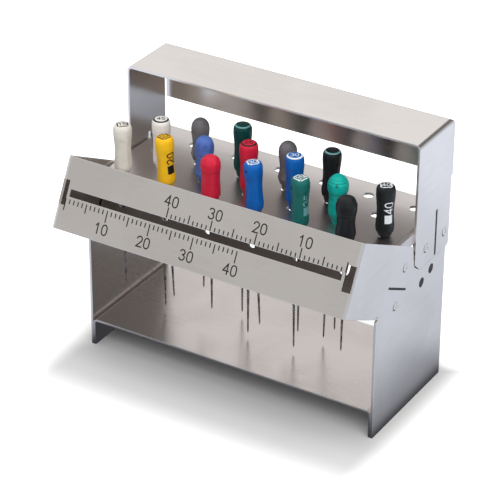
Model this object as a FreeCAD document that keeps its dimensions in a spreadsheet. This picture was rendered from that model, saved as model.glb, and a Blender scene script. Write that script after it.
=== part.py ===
"""Endodontic file stand: a folded steel hoop with a ruler panel, a perforated plate and sixteen files.

Frame: X runs along the strap, -Y is the front with the ruler, +Z is up. The origin is the middle of
the space the stand fills, at floor level. Lengths are in millimetres and angles in degrees. Distances
"from the back" are measured forwards from the back edge of the file plate.
"""

import FreeCAD
import Part
import Sketcher
import math
import os

from FreeCAD import Rotation
from FreeCAD import Vector

# Every size that can be set by itself: name, value, what it is.
SIZES = [
    ("width", 67.4, "outer width over the two walls"),
    ("height", 58.4, "floor to the top of the strap"),
    ("gauge", 0.5, "thickness of the steel sheet"),
    ("strap_depth", 13.4, "depth of the strap and the legs"),
    ("strap_bend", 1.1, "outer radius where the strap turns down"),
    ("flange_low", 45.6, "lower edge of the flange behind the strap"),
    ("flange_set", 0.9, "face of that flange, behind the back"),
    ("flange_bend", 2.0, "outer radius where the strap turns into that flange"),
    ("leg_foot", 30.05, "height at which the legs end on the walls"),
    ("leg_trim", 0.3, "back edge of the left leg, from the back"),
    ("leg_round", 0.8, "radius of a leg's lower back corner"),
    ("chamfer_run", 2.1, "run of the cut corner at a leg's foot"),
    ("chamfer_drop", 1.95, "drop of that corner"),
    ("wall_depth", 28.8, "front edge of the walls, from the back"),
    ("wall_trim", 0.3, "back edge of the walls, from the back"),
    ("slit_gap", 0.4, "gap between the wing and the leg"),
    ("notch_radius", 0.6, "relief notch where the wing meets the wall"),
    ("panel_front", 41.8, "bottom edge of the ruler panel, from the back"),
    ("panel_low", 34.3, "height of the bottom edge of the ruler panel"),
    ("panel_slope", 14.85, "length of the ruler panel up its slope"),
    ("panel_tilt", 27.55, "lean of the ruler panel from upright"),
    ("panel_bend", 1.3, "outer radius where the panel turns into a wing"),
    ("wing_top", 23.1, "length of the top edge of a wing"),
    ("wing_round", 0.5, "radius of the top back corner of a wing"),
    ("slot_half", 31.0, "half the length of the slot in the ruler panel"),
    ("slot_low", 6.9, "lower edge of the slot, up the slope"),
    ("slot_high", 8.5, "upper edge of the slot, up the slope"),
    ("window_inner", 31.6, "inner edge of an end window, from the middle"),
    ("window_outer", 33.4, "outer edge of an end window, from the middle"),
    ("window_low", 5.0, "lower edge of an end window, up the slope"),
    ("window_high", 10.2, "upper edge of an end window, up the slope"),
    ("window_reach", 0.9, "how far an end window cuts back into the bend"),
    ("inner_set", 15.7, "guide sheet behind the ruler panel, square to it"),
    ("inner_low", 0.3, "lower edge of the guide sheet, up the slope"),
    ("inner_high", 12.5, "upper edge of the guide sheet, up the slope"),
    ("inner_flange", 9.5, "length of its end flanges"),
    ("inner_bend", 0.9, "outer radius of its end bends"),
    ("guide_width", 2.2, "width of a guide hole"),
    ("guide_length", 3.2, "length of a guide hole up the slope"),
    ("guide_shift", 0.4, "sideways offset of the guide holes from the plate's"),
    ("plate_top", 39.5, "height of the top of the file plate"),
    ("plate_depth", 29.05, "depth of the file plate"),
    ("plate_bend", 0.8, "outer radius of its end bends"),
    ("tab_drop", 14.3, "depth of its end tabs, from the top of the plate"),
    ("tab_depth", 12.8, "width of its end tabs, from the back"),
    ("lip_depth", 18.9, "front end of the short lips beside those tabs, from the back"),
    ("lip_drop", 2.7, "depth of those lips, from the top of the plate"),
    ("hole_bore", 2.1, "diameter of a file hole"),
    ("hole_pitch", 10.35, "distance between holes in a row"),
    ("hole_stagger", 2.6, "sideways offset of alternate rows"),
    ("hole_shift", 0.3, "sideways offset of the whole pattern"),
    ("row_back", 5.0, "last row of holes, from the back"),
    ("row_pitch", 6.35, "distance between rows"),
    ("shelf_top", 6.15, "height of the top of the shelf"),
    ("shelf_bend", 1.0, "outer radius of its end bends"),
    ("shelf_depth", 28.5, "depth of the shelf"),
    ("weld_bore", 2.0, "diameter of a weld dimple"),
    ("weld_sink", 0.12, "depth of a weld dimple"),
    ("weld_high", 33.8, "height of the two dimples on a leg"),
    ("weld_first", 1.1, "back dimple on a leg, from the back"),
    ("weld_second", 8.9, "front dimple on a leg, from the back"),
    ("leg_slit_right", 4.9, "slit between those dimples on the right leg, from the back"),
    ("leg_slit_left", 6.4, "the same slit on the left leg, from the back"),
    ("leg_slit_low", 30.4, "lower end of that slit"),
    ("leg_slit_high", 40.6, "upper end of that slit"),
    ("slit_width", 0.5, "width of the slits on the wings"),
    ("leg_slit_width", 0.75, "width of the slits on the legs"),
    ("wing_weld_set", 21.9, "dimples on a wing, square to the panel"),
    ("wing_weld_low", 2.8, "lower dimple on a wing, up the slope"),
    ("wing_weld_high", 10.6, "upper dimple on a wing, up the slope"),
    ("wing_slit_high", 6.3, "slit between those dimples, up the slope"),
    ("wing_slit_near", 16.5, "near end of that slit, square to the panel"),
    ("wing_slit_far", 24.7, "far end of that slit, square to the panel"),
    ("wall_bore", 2.1, "diameter of the two holes in a wall"),
    ("wall_hole_front", 10.2, "front hole in a wall, from the back"),
    ("wall_hole_front_high", 26.6, "its height"),
    ("wall_hole_back", 6.3, "back hole in a wall, from the back"),
    ("wall_hole_back_high", 27.9, "its height"),
    ("shaft_bore", 0.8, "diameter of a file's shaft above its flutes"),
    ("shaft_tip", 0.35, "diameter of a file's tip"),
    ("flute_length", 16.0, "length of the tapered cutting part"),
    ("short_shaft", 25.0, "shaft of a short file below the plate's top"),
    ("long_shaft", 32.4, "shaft of a long file below the plate's top"),
    ("cut_shaft", 23.7, "shaft of the one file that is shorter than the short ones"),
    ("tilt_rise", 0.1, "rise of a leaning handle off the plate"),
]

# Sections of the three handle patterns: name, height above the foot, diameter.
PATTERNS = {
    "tall": [
        ("foot", 0.0, 2.4), ("cone", 1.4, 2.9), ("bulge", 2.8, 3.7), ("waist", 6.3, 3.35),
        ("head", 9.6, 3.85), ("shoulder", 11.0, 3.4), ("crown", 11.65, 2.6),
    ],
    "short": [
        ("foot", 0.0, 2.4), ("cone", 0.9, 3.1), ("bulge", 2.3, 3.85), ("waist", 4.9, 3.6),
        ("head", 7.9, 4.0), ("shoulder", 9.6, 3.3), ("crown", 10.15, 2.1),
    ],
    "wide": [
        ("foot", 0.0, 2.4), ("cone", 0.9, 3.0), ("bulge", 2.3, 3.85), ("waist", 5.0, 3.6),
        ("head", 7.9, 4.2), ("shoulder", 9.6, 3.4), ("crown", 10.25, 2.1),
    ],
}

# The files: row from the front, place from the left, colour, pattern, lift, shaft, slide, lean.
FILES = [
    (1, 1, "beige", "tall", 0.0, "short_shaft", 0.34, 0.0),
    (1, 2, "yellow", "tall", -0.15, "short_shaft", 0.6, -3.0),
    (1, 3, "red", "short", -0.05, "short_shaft", 0.6, -0.3),
    (1, 4, "blue", "tall", -0.1, "short_shaft", 0.54, -2.9),
    (1, 5, "green", "tall", -0.45, "cut_shaft", 0.34, 0.0),
    (1, 6, "black", "short", -0.25, "short_shaft", 0.2, 0.7),
    (2, 1, "white", "tall", -0.2, "long_shaft", 0.37, -0.6),
    (2, 2, "periwinkle", "short", -0.05, "short_shaft", 0.14, 0.6),
    (2, 3, "red", "tall", 0.2, "long_shaft", 0.3, 0.0),
    (2, 4, "blue", "tall", 0.2, "long_shaft", 0.6, -0.55),
    (2, 5, "teal", "wide", 0.0, "short_shaft", 0.0, 0.0),
    (2, 6, "black", "tall", -0.55, "long_shaft", 0.15, 0.0),
    (3, 2, "grey", "short", 0.1, "short_shaft", 0.45, 0.0),
    (3, 3, "green", "tall", 0.05, "long_shaft", 0.2, 0.0),
    (3, 4, "grey", "short", 0.45, "short_shaft", 0.42, 0.0),
    (3, 5, "black", "tall", -0.2, "long_shaft", -0.06, 1.4),
]

HOLES_IN_ROW = 6
ROWS = 4
PAST = 2.0


class Size:
    """A length or an angle, kept as a number and as the sheet formula it comes from."""

    def __init__(self, value, text):
        self.value = value
        self.text = text

    @staticmethod
    def of(other):
        """Returns a plain number as a size of its own."""
        if isinstance(other, Size):
            return other
        return Size(float(other), "({:.6f})".format(other))

    def join(self, other, sign, value):
        """Returns the size that joins this one and another with a sign."""
        return Size(value, "({} {} {})".format(self.text, sign, Size.of(other).text))

    def __add__(self, other):
        return self.join(other, "+", self.value + Size.of(other).value)

    def __sub__(self, other):
        return self.join(other, "-", self.value - Size.of(other).value)

    def __mul__(self, other):
        return self.join(other, "*", self.value * Size.of(other).value)

    def __truediv__(self, other):
        return self.join(other, "/", self.value / Size.of(other).value)

    def __neg__(self):
        return Size(0.0, "(0)") - self

    def turn(self, name):
        """Returns the sine or cosine of this angle."""
        value = getattr(math, name)(math.radians(self.value))
        return Size(value, "{}({} * 1 deg)".format(name, self.text))


doc = FreeCAD.newDocument("file_stand")
sheet = doc.addObject("Spreadsheet::Sheet", "Sizes")
size = {}


def fill_sheet():
    """Writes every size into the sheet and keeps it under its name."""
    rows = list(SIZES)
    for pattern, sections in PATTERNS.items():
        for part, rise, across in sections:
            if part != "foot":
                rows.append((pattern + "_" + part + "_rise", rise, "height of this section of a handle"))
            rows.append((pattern + "_" + part + "_across", across, "diameter of this section of a handle"))
    for row, place, colour, pattern, lift, shaft, slide, lean in FILES:
        rows.append((file_name(row, place, colour) + "_lift", lift, "how much longer its neck is"))
        rows.append((file_name(row, place, colour) + "_slide", slide, "how far off its hole's middle it stands"))
        rows.append((file_name(row, place, colour) + "_lean", lean, "how far it leans"))
    for index, (name, value, note) in enumerate(rows, start=1):
        sheet.set("A{}".format(index), name)
        sheet.set("B{}".format(index), str(value))
        sheet.set("C{}".format(index), note)
        sheet.setAlias("B{}".format(index), name)
        size[name] = Size(value, "Sizes." + name)
    doc.recompute()


def file_name(row, place, colour):
    """Returns the name of the file in a row and a place."""
    return "file_row{}_{}_{}".format(row, place, colour)


def bind(item, path, amount):
    """Ties one property of an object to a size."""
    item.setExpression(path, amount.text)


def place(item, x, y, z):
    """Ties the position of an object to three sizes."""
    bind(item, "Placement.Base.x", Size.of(x))
    bind(item, "Placement.Base.y", Size.of(y))
    bind(item, "Placement.Base.z", Size.of(z))


def lean(item, axis, angle):
    """Turns an object about an axis by an angle from the sheet."""
    item.Placement.Rotation = Rotation(axis, angle.value)
    bind(item, "Placement.Rotation.Axis.x", Size.of(axis.x))
    bind(item, "Placement.Rotation.Axis.y", Size.of(axis.y))
    bind(item, "Placement.Rotation.Axis.z", Size.of(axis.z))
    bind(item, "Placement.Rotation.Angle", angle)


def new_body(label):
    """Returns an empty body with its label."""
    body = doc.addObject("PartDesign::Body", label)
    body.Label = label
    return body


def new_sketch(body, name, role, offset=None):
    """Returns an empty sketch on one of the body's own planes."""
    sketch = body.newObject("Sketcher::SketchObject", body.Name + "_" + name)
    plane = [item for item in body.Origin.OriginFeatures if item.Role == role][0]
    sketch.AttachmentSupport = [(plane, "")]
    sketch.MapMode = "FlatFace"
    if offset is not None:
        bind(sketch, "AttachmentOffset.Base.z", offset)
    return sketch


def pin(sketch, line, end, across, up):
    """Fixes one end of a line, or a circle's middle, at two sizes."""
    for kind, amount in (("DistanceX", Size.of(across)), ("DistanceY", Size.of(up))):
        index = sketch.addConstraint(Sketcher.Constraint(kind, line, end, amount.value))
        sketch.setExpression("Constraints[{}]".format(index), amount.text)


def polygon(sketch, points):
    """Draws a closed outline whose corners are tied to sizes."""
    start = sketch.GeometryCount
    spots = [Vector(Size.of(across).value, Size.of(up).value, 0) for across, up in points]
    for index, spot in enumerate(spots):
        sketch.addGeometry(Part.LineSegment(spot, spots[(index + 1) % len(spots)]), False)
    for index in range(len(points)):
        after = start + (index + 1) % len(points)
        sketch.addConstraint(Sketcher.Constraint("Coincident", start + index, 2, after, 1))
    for index, (across, up) in enumerate(points):
        pin(sketch, start + index, 1, across, up)


def circle(sketch, across, up, bore):
    """Draws a circle of a given diameter."""
    bore = Size.of(bore)
    centre = Vector(Size.of(across).value, Size.of(up).value, 0)
    index = sketch.addGeometry(Part.Circle(centre, Vector(0, 0, 1), bore.value / 2), False)
    pin(sketch, index, 3, across, up)
    rule = sketch.addConstraint(Sketcher.Constraint("Diameter", index, bore.value))
    sketch.setExpression("Constraints[{}]".format(rule), bore.text)


def oblong(sketch, across, up, width, length):
    """Draws an upright slot with round ends."""
    reach = (length - width) / 2
    radius = (width / 2).value
    low = up - reach
    high = up + reach
    top = Part.Circle(Vector(across.value, high.value, 0), Vector(0, 0, 1), radius)
    bottom = Part.Circle(Vector(across.value, low.value, 0), Vector(0, 0, 1), radius)
    arc_top = sketch.addGeometry(Part.ArcOfCircle(top, 0, math.pi), False)
    arc_low = sketch.addGeometry(Part.ArcOfCircle(bottom, math.pi, 2 * math.pi), False)
    left = [Vector(across.value - radius, high.value, 0), Vector(across.value - radius, low.value, 0)]
    right = [Vector(across.value + radius, low.value, 0), Vector(across.value + radius, high.value, 0)]
    line_left = sketch.addGeometry(Part.LineSegment(left[0], left[1]), False)
    line_right = sketch.addGeometry(Part.LineSegment(right[0], right[1]), False)
    pin(sketch, arc_top, 3, across, high)
    pin(sketch, arc_low, 3, across, low)
    sketch.addConstraint(Sketcher.Constraint("Tangent", arc_top, 2, line_left, 1))
    sketch.addConstraint(Sketcher.Constraint("Tangent", line_left, 2, arc_low, 1))
    sketch.addConstraint(Sketcher.Constraint("Tangent", arc_low, 2, line_right, 1))
    sketch.addConstraint(Sketcher.Constraint("Tangent", line_right, 2, arc_top, 1))
    rule = sketch.addConstraint(Sketcher.Constraint("Radius", arc_top, radius))
    sketch.setExpression("Constraints[{}]".format(rule), (width / 2).text)


def pad(body, sketch, name, length, backwards=False):
    """Raises a sketch into a solid."""
    feature = body.newObject("PartDesign::Pad", body.Name + "_" + name)
    feature.Profile = sketch
    feature.Reversed = backwards
    bind(feature, "Length", length)
    doc.recompute()
    return feature


def cut_through(body, sketch, name):
    """Cuts a sketch through the whole body, both ways."""
    before = body.Shape.Volume
    feature = body.newObject("PartDesign::Pocket", body.Name + "_" + name)
    feature.Profile = sketch
    feature.Type = "ThroughAll"
    feature.Midplane = True
    doc.recompute()
    check_cut(body, name, before)
    return feature


def cut_deep(body, sketch, name, depth):
    """Cuts a sketch to equal depths on both sides of its plane."""
    before = body.Shape.Volume
    feature = body.newObject("PartDesign::Pocket", body.Name + "_" + name)
    feature.Profile = sketch
    feature.Type = "Length"
    feature.Midplane = True
    bind(feature, "Length", depth * 2)
    doc.recompute()
    check_cut(body, name, before)
    return feature


def check_cut(body, name, before):
    """Stops the build when a cut removed nothing."""
    if body.Shape.Volume > before - 0.001:
        raise RuntimeError("{} {} cuts nothing".format(body.Name, name))


def round_edges(body, feature, name, radius, axis, spots):
    """Rounds the edges along an axis that pass nearest to the given spots."""
    edges = []
    for spot in spots:
        best = None
        for index, edge in enumerate(feature.Shape.Edges, start=1):
            ends = [vertex.Point for vertex in edge.Vertexes]
            if len(ends) != 2 or abs((ends[1] - ends[0]).normalize().dot(axis)) < 0.99:
                continue
            away = edge.distToShape(Part.Vertex(spot))[0]
            if best is None or away < best[0]:
                best = (away, "Edge{}".format(index))
        edges.append(best[1])
    rounded = body.newObject("PartDesign::Fillet", body.Name + "_" + name)
    rounded.Base = (feature, edges)
    bind(rounded, "Radius", radius)
    doc.recompute()
    return rounded


def channel(half, top, gauge):
    """Returns the outline of an upside-down channel that stands on zero."""
    return [
        (-half, Size.of(0)), (-half, top), (half, top), (half, Size.of(0)),
        (half - gauge, Size.of(0)), (half - gauge, top - gauge),
        (gauge - half, top - gauge), (gauge - half, Size.of(0)),
    ]


def on_wing(y, z):
    """Returns how far a point lies behind the panel, square to it, and up its slope."""
    back = y + size["panel_front"]
    rise = z - size["panel_low"]
    sine = size["panel_tilt"].turn("sin")
    cosine = size["panel_tilt"].turn("cos")
    return back * cosine - rise * sine, back * sine + rise * cosine


def weld_dimples(body, name, half, spots):
    """Sinks round dimples into the outer faces of both sides."""
    for side, sign in (("right", 1), ("left", -1)):
        sketch = new_sketch(body, name + "_" + side, "YZ_Plane", half * sign)
        for across, up in spots:
            circle(sketch, across, up, size["weld_bore"])
        cut_deep(body, sketch, name + "_" + side + "_sink", size["weld_sink"])


def web(sketch, across, up, radius):
    """Draws the small space between a square corner and the round that replaces it."""
    radius = Size.of(radius)
    corner = Vector(across.value, up.value, 0)
    left = Vector(across.value - radius.value, up.value, 0)
    under = Vector(across.value, up.value - radius.value, 0)
    centre = Vector(left.x, under.y, 0)
    top = sketch.addGeometry(Part.LineSegment(left, corner), False)
    side = sketch.addGeometry(Part.LineSegment(corner, under), False)
    ring = Part.Circle(centre, Vector(0, 0, 1), radius.value)
    arc = sketch.addGeometry(Part.ArcOfCircle(ring, 0, math.pi / 2), False)
    pin(sketch, top, 1, across - radius, up)
    pin(sketch, top, 2, across, up)
    sketch.addConstraint(Sketcher.Constraint("Coincident", top, 2, side, 1))
    pin(sketch, side, 2, across, up - radius)
    sketch.addConstraint(Sketcher.Constraint("Coincident", side, 2, arc, 1))
    sketch.addConstraint(Sketcher.Constraint("Coincident", arc, 2, top, 1))
    rule = sketch.addConstraint(Sketcher.Constraint("Radius", arc, radius.value))
    sketch.setExpression("Constraints[{}]".format(rule), radius.text)


def make_hoop(back):
    """Strap with its back flange and its two legs, folded from one sheet."""
    body = new_body("hoop")
    place(body, 0, back, 0)
    half = size["width"] / 2
    gauge = size["gauge"]
    top = size["height"]
    foot = size["leg_foot"]
    leg = -size["strap_depth"]
    behind = size["flange_set"]
    rear = behind + gauge
    sketch = new_sketch(body, "profile", "XZ_Plane", -rear)
    polygon(sketch, [
        (-half, foot), (-half, top), (half, top), (half, foot), (half - gauge, foot),
        (half - gauge, top - gauge), (gauge - half, top - gauge), (gauge - half, foot),
    ])
    solid = pad(body, sketch, "sheet", size["strap_depth"] + rear)
    outer = [Vector(side * half.value, 0, top.value) for side in (-1, 1)]
    inner = [Vector(side * (half - gauge).value, 0, (top - gauge).value) for side in (-1, 1)]
    solid = round_edges(body, solid, "outer_bend", size["strap_bend"], Vector(0, 1, 0), outer)
    round_edges(body, solid, "inner_bend", size["strap_bend"] - gauge, Vector(0, 1, 0), inner)
    sketch = new_sketch(body, "back_profile", "XZ_Plane", -rear)
    low = size["flange_low"]
    bend = size["strap_bend"]
    polygon(sketch, [
        (-half, low), (half, low), (half, top - bend), (half - bend, top - gauge),
        (bend - half, top - gauge), (-half, top - bend),
    ])
    pad(body, sketch, "back_flange", gauge)
    sketch = new_sketch(body, "bend_fill", "YZ_Plane")
    web(sketch, behind, top - gauge, size["flange_bend"] - gauge)
    fill = pad(body, sketch, "bend_inside", half * 2 - bend * 2)
    fill.Midplane = True
    doc.recompute()
    sketch = new_sketch(body, "bend_trim", "YZ_Plane")
    web(sketch, rear, top, size["flange_bend"])
    cut_through(body, sketch, "bend_outside")
    sketch = new_sketch(body, "rear_trim", "YZ_Plane")
    polygon(sketch, [(behind, foot - PAST), (rear + PAST, foot - PAST), (rear + PAST, low), (behind, low)])
    solid = cut_through(body, sketch, "leg_backs")
    corner = [Vector(half.value, behind.value, foot.value)]
    round_edges(body, solid, "foot_round", size["leg_round"], Vector(1, 0, 0), corner)
    sketch = new_sketch(body, "left_trim", "YZ_Plane", -half)
    trim = -size["leg_trim"]
    high = top - size["flange_bend"] - bend
    polygon(sketch, [(trim, foot - PAST), (behind, foot - PAST), (behind, high), (trim, high)])
    cut_deep(body, sketch, "left_back", gauge * 2)
    sketch = new_sketch(body, "foot_corner", "YZ_Plane")
    run = size["chamfer_run"]
    drop = size["chamfer_drop"]
    polygon(sketch, [
        (leg - PAST, foot + drop), (leg, foot + drop), (leg + run, foot), (leg + run, foot - PAST),
        (leg - PAST, foot - PAST),
    ])
    cut_through(body, sketch, "chamfer")
    thin = size["leg_slit_width"] / 2
    low = size["leg_slit_low"]
    high = size["leg_slit_high"]
    for side, sign in (("right", 1), ("left", -1)):
        sketch = new_sketch(body, side + "_slit", "YZ_Plane", half * sign)
        slit = -size["leg_slit_" + side]
        polygon(sketch, [(slit - thin, low), (slit + thin, low), (slit + thin, high), (slit - thin, high)])
        cut_deep(body, sketch, side + "_slot", gauge * 2)
    spots = [(-size["weld_first"], size["weld_high"]), (-size["weld_second"], size["weld_high"])]
    weld_dimples(body, "dimple", half, spots)
    return body


def side_outline():
    """Returns the outline of a wing and its wall, square to the panel and up its slope."""
    slope = size["panel_slope"]
    foot = size["leg_foot"]
    leg = -size["strap_depth"]
    rear = -size["wall_trim"]
    front = -size["wall_depth"]
    zero = Size.of(0)
    shoulder = (size["panel_front"] - size["wall_depth"]) / size["panel_tilt"].turn("cos")
    return [
        (-Size.of(PAST), zero), (-Size.of(PAST), slope), (size["wing_top"], slope),
        on_wing(leg - size["slit_gap"], foot + size["chamfer_drop"] * 0.9),
        on_wing(leg + size["chamfer_run"], foot), on_wing(rear, foot), on_wing(rear, zero),
        on_wing(front, zero), (shoulder, zero),
    ]


def make_ruler(back):
    """Ruler panel, wings and side walls, folded from one sheet and leaning back."""
    body = new_body("ruler_body")
    half = size["width"] / 2
    gauge = size["gauge"]
    outline = side_outline()
    reach = outline[6][0] + PAST
    low = outline[7][1] - PAST
    high = outline[5][1] + PAST
    sketch = new_sketch(body, "profile", "XY_Plane", low)
    zero = Size.of(0)
    polygon(sketch, [
        (-half, zero), (half, zero), (half, reach), (half - gauge, reach),
        (half - gauge, gauge), (gauge - half, gauge), (gauge - half, reach), (-half, reach),
    ])
    slope = size["panel_slope"]
    solid = pad(body, sketch, "sheet", high - low)
    outer = [Vector(side * half.value, 0, slope.value / 2) for side in (-1, 1)]
    inner = [Vector(side * (half - gauge).value, gauge.value, slope.value / 2) for side in (-1, 1)]
    solid = round_edges(body, solid, "outer_bend", size["panel_bend"], Vector(0, 0, 1), outer)
    round_edges(body, solid, "inner_bend", size["panel_bend"] - gauge, Vector(0, 0, 1), inner)
    sketch = new_sketch(body, "outline", "YZ_Plane")
    edge = Size.of(PAST * 2)
    polygon(sketch, [
        (-edge, low - edge), (reach + edge, low - edge), (reach + edge, high + edge), (-edge, high + edge),
    ])
    polygon(sketch, outline)
    solid = cut_through(body, sketch, "trim")
    corners = [Vector(side * half.value, size["wing_top"].value, slope.value) for side in (-1, 1)]
    round_edges(body, solid, "corner", size["wing_round"], Vector(1, 0, 0), corners)
    sketch = new_sketch(body, "notch", "YZ_Plane")
    circle(sketch, outline[8][0], zero, size["notch_radius"] * 2)
    cut_through(body, sketch, "relief")
    sketch = new_sketch(body, "slot", "XZ_Plane")
    long = size["slot_half"]
    low = size["slot_low"]
    high = size["slot_high"]
    polygon(sketch, [(-long, low), (long, low), (long, high), (-long, high)])
    for side in (-1, 1):
        near = size["window_inner"] * side
        far = size["window_outer"] * side
        low = size["window_low"]
        high = size["window_high"]
        polygon(sketch, [(near, low), (far, low), (far, high), (near, high)])
    cut_deep(body, sketch, "openings", size["window_reach"])
    sketch = new_sketch(body, "wing_slit", "YZ_Plane")
    thin = size["slit_width"] / 2
    level = size["wing_slit_high"]
    near = size["wing_slit_near"]
    far = size["wing_slit_far"]
    polygon(sketch, [(near, level - thin), (far, level - thin), (far, level + thin), (near, level + thin)])
    cut_through(body, sketch, "slit")
    sketch = new_sketch(body, "wall_holes", "YZ_Plane")
    for which in ("front", "back"):
        spot = on_wing(-size["wall_hole_" + which], size["wall_hole_" + which + "_high"])
        circle(sketch, spot[0], spot[1], size["wall_bore"])
    cut_through(body, sketch, "wall_bores")
    along = size["wing_weld_set"]
    weld_dimples(body, "dimple", half, [(along, size["wing_weld_low"]), (along, size["wing_weld_high"])])
    place(body, 0, back - size["panel_front"], size["panel_low"])
    lean(body, Vector(1, 0, 0), -size["panel_tilt"])
    return body


def make_guide(back):
    """Slanted sheet behind the ruler, with a guide hole for each file of the front row."""
    body = new_body("guide_sheet")
    half = size["width"] / 2 - size["gauge"]
    gauge = size["gauge"]
    near = size["inner_set"]
    far = near + size["inner_flange"]
    low = size["inner_low"]
    rise = size["inner_high"] - low
    sketch = new_sketch(body, "profile", "XY_Plane", low)
    polygon(sketch, [
        (-half, near), (half, near), (half, far), (half - gauge, far),
        (half - gauge, near + gauge), (gauge - half, near + gauge), (gauge - half, far), (-half, far),
    ])
    solid = pad(body, sketch, "sheet", rise)
    level = (low + rise / 2).value
    outer = [Vector(side * half.value, near.value, level) for side in (-1, 1)]
    inner = [Vector(side * (half - gauge).value, (near + gauge).value, level) for side in (-1, 1)]
    solid = round_edges(body, solid, "outer_bend", size["inner_bend"], Vector(0, 0, 1), outer)
    round_edges(body, solid, "inner_bend", size["inner_bend"] - gauge, Vector(0, 0, 1), inner)
    sketch = new_sketch(body, "holes", "XZ_Plane", -near)
    front = size["panel_front"] - row_from_back(1)
    sine = size["panel_tilt"].turn("sin")
    cosine = size["panel_tilt"].turn("cos")
    level = (front - (near + gauge / 2) * cosine) / sine
    for number in range(1, HOLES_IN_ROW + 1):
        across = hole_x(1, number) + size["guide_shift"]
        oblong(sketch, across, level, size["guide_width"], size["guide_length"])
    cut_deep(body, sketch, "guides", gauge * 2)
    place(body, 0, back - size["panel_front"], size["panel_low"])
    lean(body, Vector(1, 0, 0), -size["panel_tilt"])
    return body


def row_from_back(row):
    """Returns how far a row of holes lies from the back."""
    return size["row_back"] + size["row_pitch"] * (ROWS - row)


def hole_x(row, number):
    """Returns the sideways position of a hole."""
    middle = (HOLES_IN_ROW + 1) / 2
    side = 1 if row % 2 == 0 else -1
    return size["hole_pitch"] * (number - middle) + size["hole_stagger"] * side + size["hole_shift"]


def make_plate(back):
    """Perforated plate that carries the files, with an end flange inside each leg."""
    body = new_body("file_plate")
    place(body, 0, back, 0)
    half = size["width"] / 2 - size["gauge"]
    gauge = size["gauge"]
    top = size["plate_top"]
    low = top - size["tab_drop"]
    sketch = new_sketch(body, "profile", "XZ_Plane")
    polygon(sketch, [
        (-half, low), (-half, top), (half, top), (half, low), (half - gauge, low),
        (half - gauge, top - gauge), (gauge - half, top - gauge), (gauge - half, low),
    ])
    solid = pad(body, sketch, "sheet", size["plate_depth"])
    outer = [Vector(side * half.value, 0, top.value) for side in (-1, 1)]
    inner = [Vector(side * (half - gauge).value, 0, (top - gauge).value) for side in (-1, 1)]
    solid = round_edges(body, solid, "outer_bend", size["plate_bend"], Vector(0, 1, 0), outer)
    round_edges(body, solid, "inner_bend", size["plate_bend"] - gauge, Vector(0, 1, 0), inner)
    sketch = new_sketch(body, "tab_cut", "YZ_Plane")
    near = -size["tab_depth"]
    lip = -size["lip_depth"]
    under = top - size["lip_drop"]
    far = -size["plate_depth"] - PAST
    polygon(sketch, [
        (near, low - PAST), (near, under), (lip, under), (lip, top - gauge), (far, top - gauge), (far, low - PAST),
    ])
    cut_through(body, sketch, "tab_trim")
    for row in range(1, ROWS + 1):
        sketch = new_sketch(body, "row{}".format(row), "XY_Plane")
        circle(sketch, hole_x(row, 1), -row_from_back(row), size["hole_bore"])
        first = cut_through(body, sketch, "hole{}".format(row))
        repeat = body.newObject("PartDesign::LinearPattern", "{}_holes{}".format(body.Name, row))
        repeat.Originals = [first]
        repeat.Direction = (sketch, ["H_Axis"])
        repeat.Mode = "Spacing"
        bind(repeat, "Offset", size["hole_pitch"])
        repeat.Occurrences = HOLES_IN_ROW
        body.Tip = repeat
        doc.recompute()
    return body


def make_shelf(back):
    """Low shelf between the walls that the long files reach down to."""
    body = new_body("base_shelf")
    place(body, 0, back, 0)
    half = size["width"] / 2 - size["gauge"]
    gauge = size["gauge"]
    top = size["shelf_top"]
    sketch = new_sketch(body, "profile", "XZ_Plane", size["wall_trim"])
    polygon(sketch, channel(half, top, gauge))
    solid = pad(body, sketch, "sheet", size["shelf_depth"])
    outer = [Vector(side * half.value, 0, top.value) for side in (-1, 1)]
    inner = [Vector(side * (half - gauge).value, 0, (top - gauge).value) for side in (-1, 1)]
    solid = round_edges(body, solid, "outer_bend", size["shelf_bend"], Vector(0, 1, 0), outer)
    round_edges(body, solid, "inner_bend", size["shelf_bend"] - gauge, Vector(0, 1, 0), inner)
    return body


def make_handle(name, pattern, x, y, foot, tilt):
    """Plastic handle: a smooth body drawn through its round sections."""
    body = new_body(name + "_handle")
    lift = size[name + "_lift"]
    sketches = []
    for part, rise, across in PATTERNS[pattern]:
        height = Size.of(0)
        if part != "foot":
            height = size[pattern + "_" + part + "_rise"] + lift
        sketch = new_sketch(body, part, "XY_Plane", height)
        circle(sketch, Size.of(0), Size.of(0), size[pattern + "_" + part + "_across"])
        sketches.append(sketch)
    loft = body.newObject("PartDesign::AdditiveLoft", body.Name + "_loft")
    loft.Profile = sketches[0]
    loft.Sections = sketches[1:]
    loft.Ruled = False
    place(body, x, y, foot)
    lean(body, Vector(0, 1, 0), tilt)
    return body


def make_shaft(name, x, y, foot, length, tilt):
    """Steel shaft below the handle: a plain neck and a tapered cutting part."""
    body = new_body(name + "_shaft")
    thick = size["shaft_bore"]
    sketch = new_sketch(body, "profile", "XZ_Plane")
    zero = Size.of(0)
    neck = size["flute_length"] - length
    polygon(sketch, [
        (zero, zero), (thick / 2, zero), (thick / 2, neck), (size["shaft_tip"] / 2, -length), (zero, -length),
    ])
    turned = body.newObject("PartDesign::Revolution", body.Name + "_turned")
    turned.Profile = sketch
    turned.ReferenceAxis = (sketch, ["V_Axis"])
    turned.Angle = 360
    place(body, x, y, foot)
    lean(body, Vector(0, 1, 0), tilt)
    return body


def make_files(back):
    """Every file: a handle on the plate and a shaft through its hole."""
    pieces = []
    for row, number, colour, pattern, lift, shaft, slide, tilt in FILES:
        name = file_name(row, number, colour)
        x = hole_x(row, number) + size[name + "_slide"]
        y = back - row_from_back(row)
        foot = size["plate_top"]
        if tilt:
            foot = foot + size["tilt_rise"]
        angle = size[name + "_lean"]
        pieces.append(make_handle(name, pattern, x, y, foot, angle))
        pieces.append(make_shaft(name, x, y, foot, size[shaft], angle))
    return pieces


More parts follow.
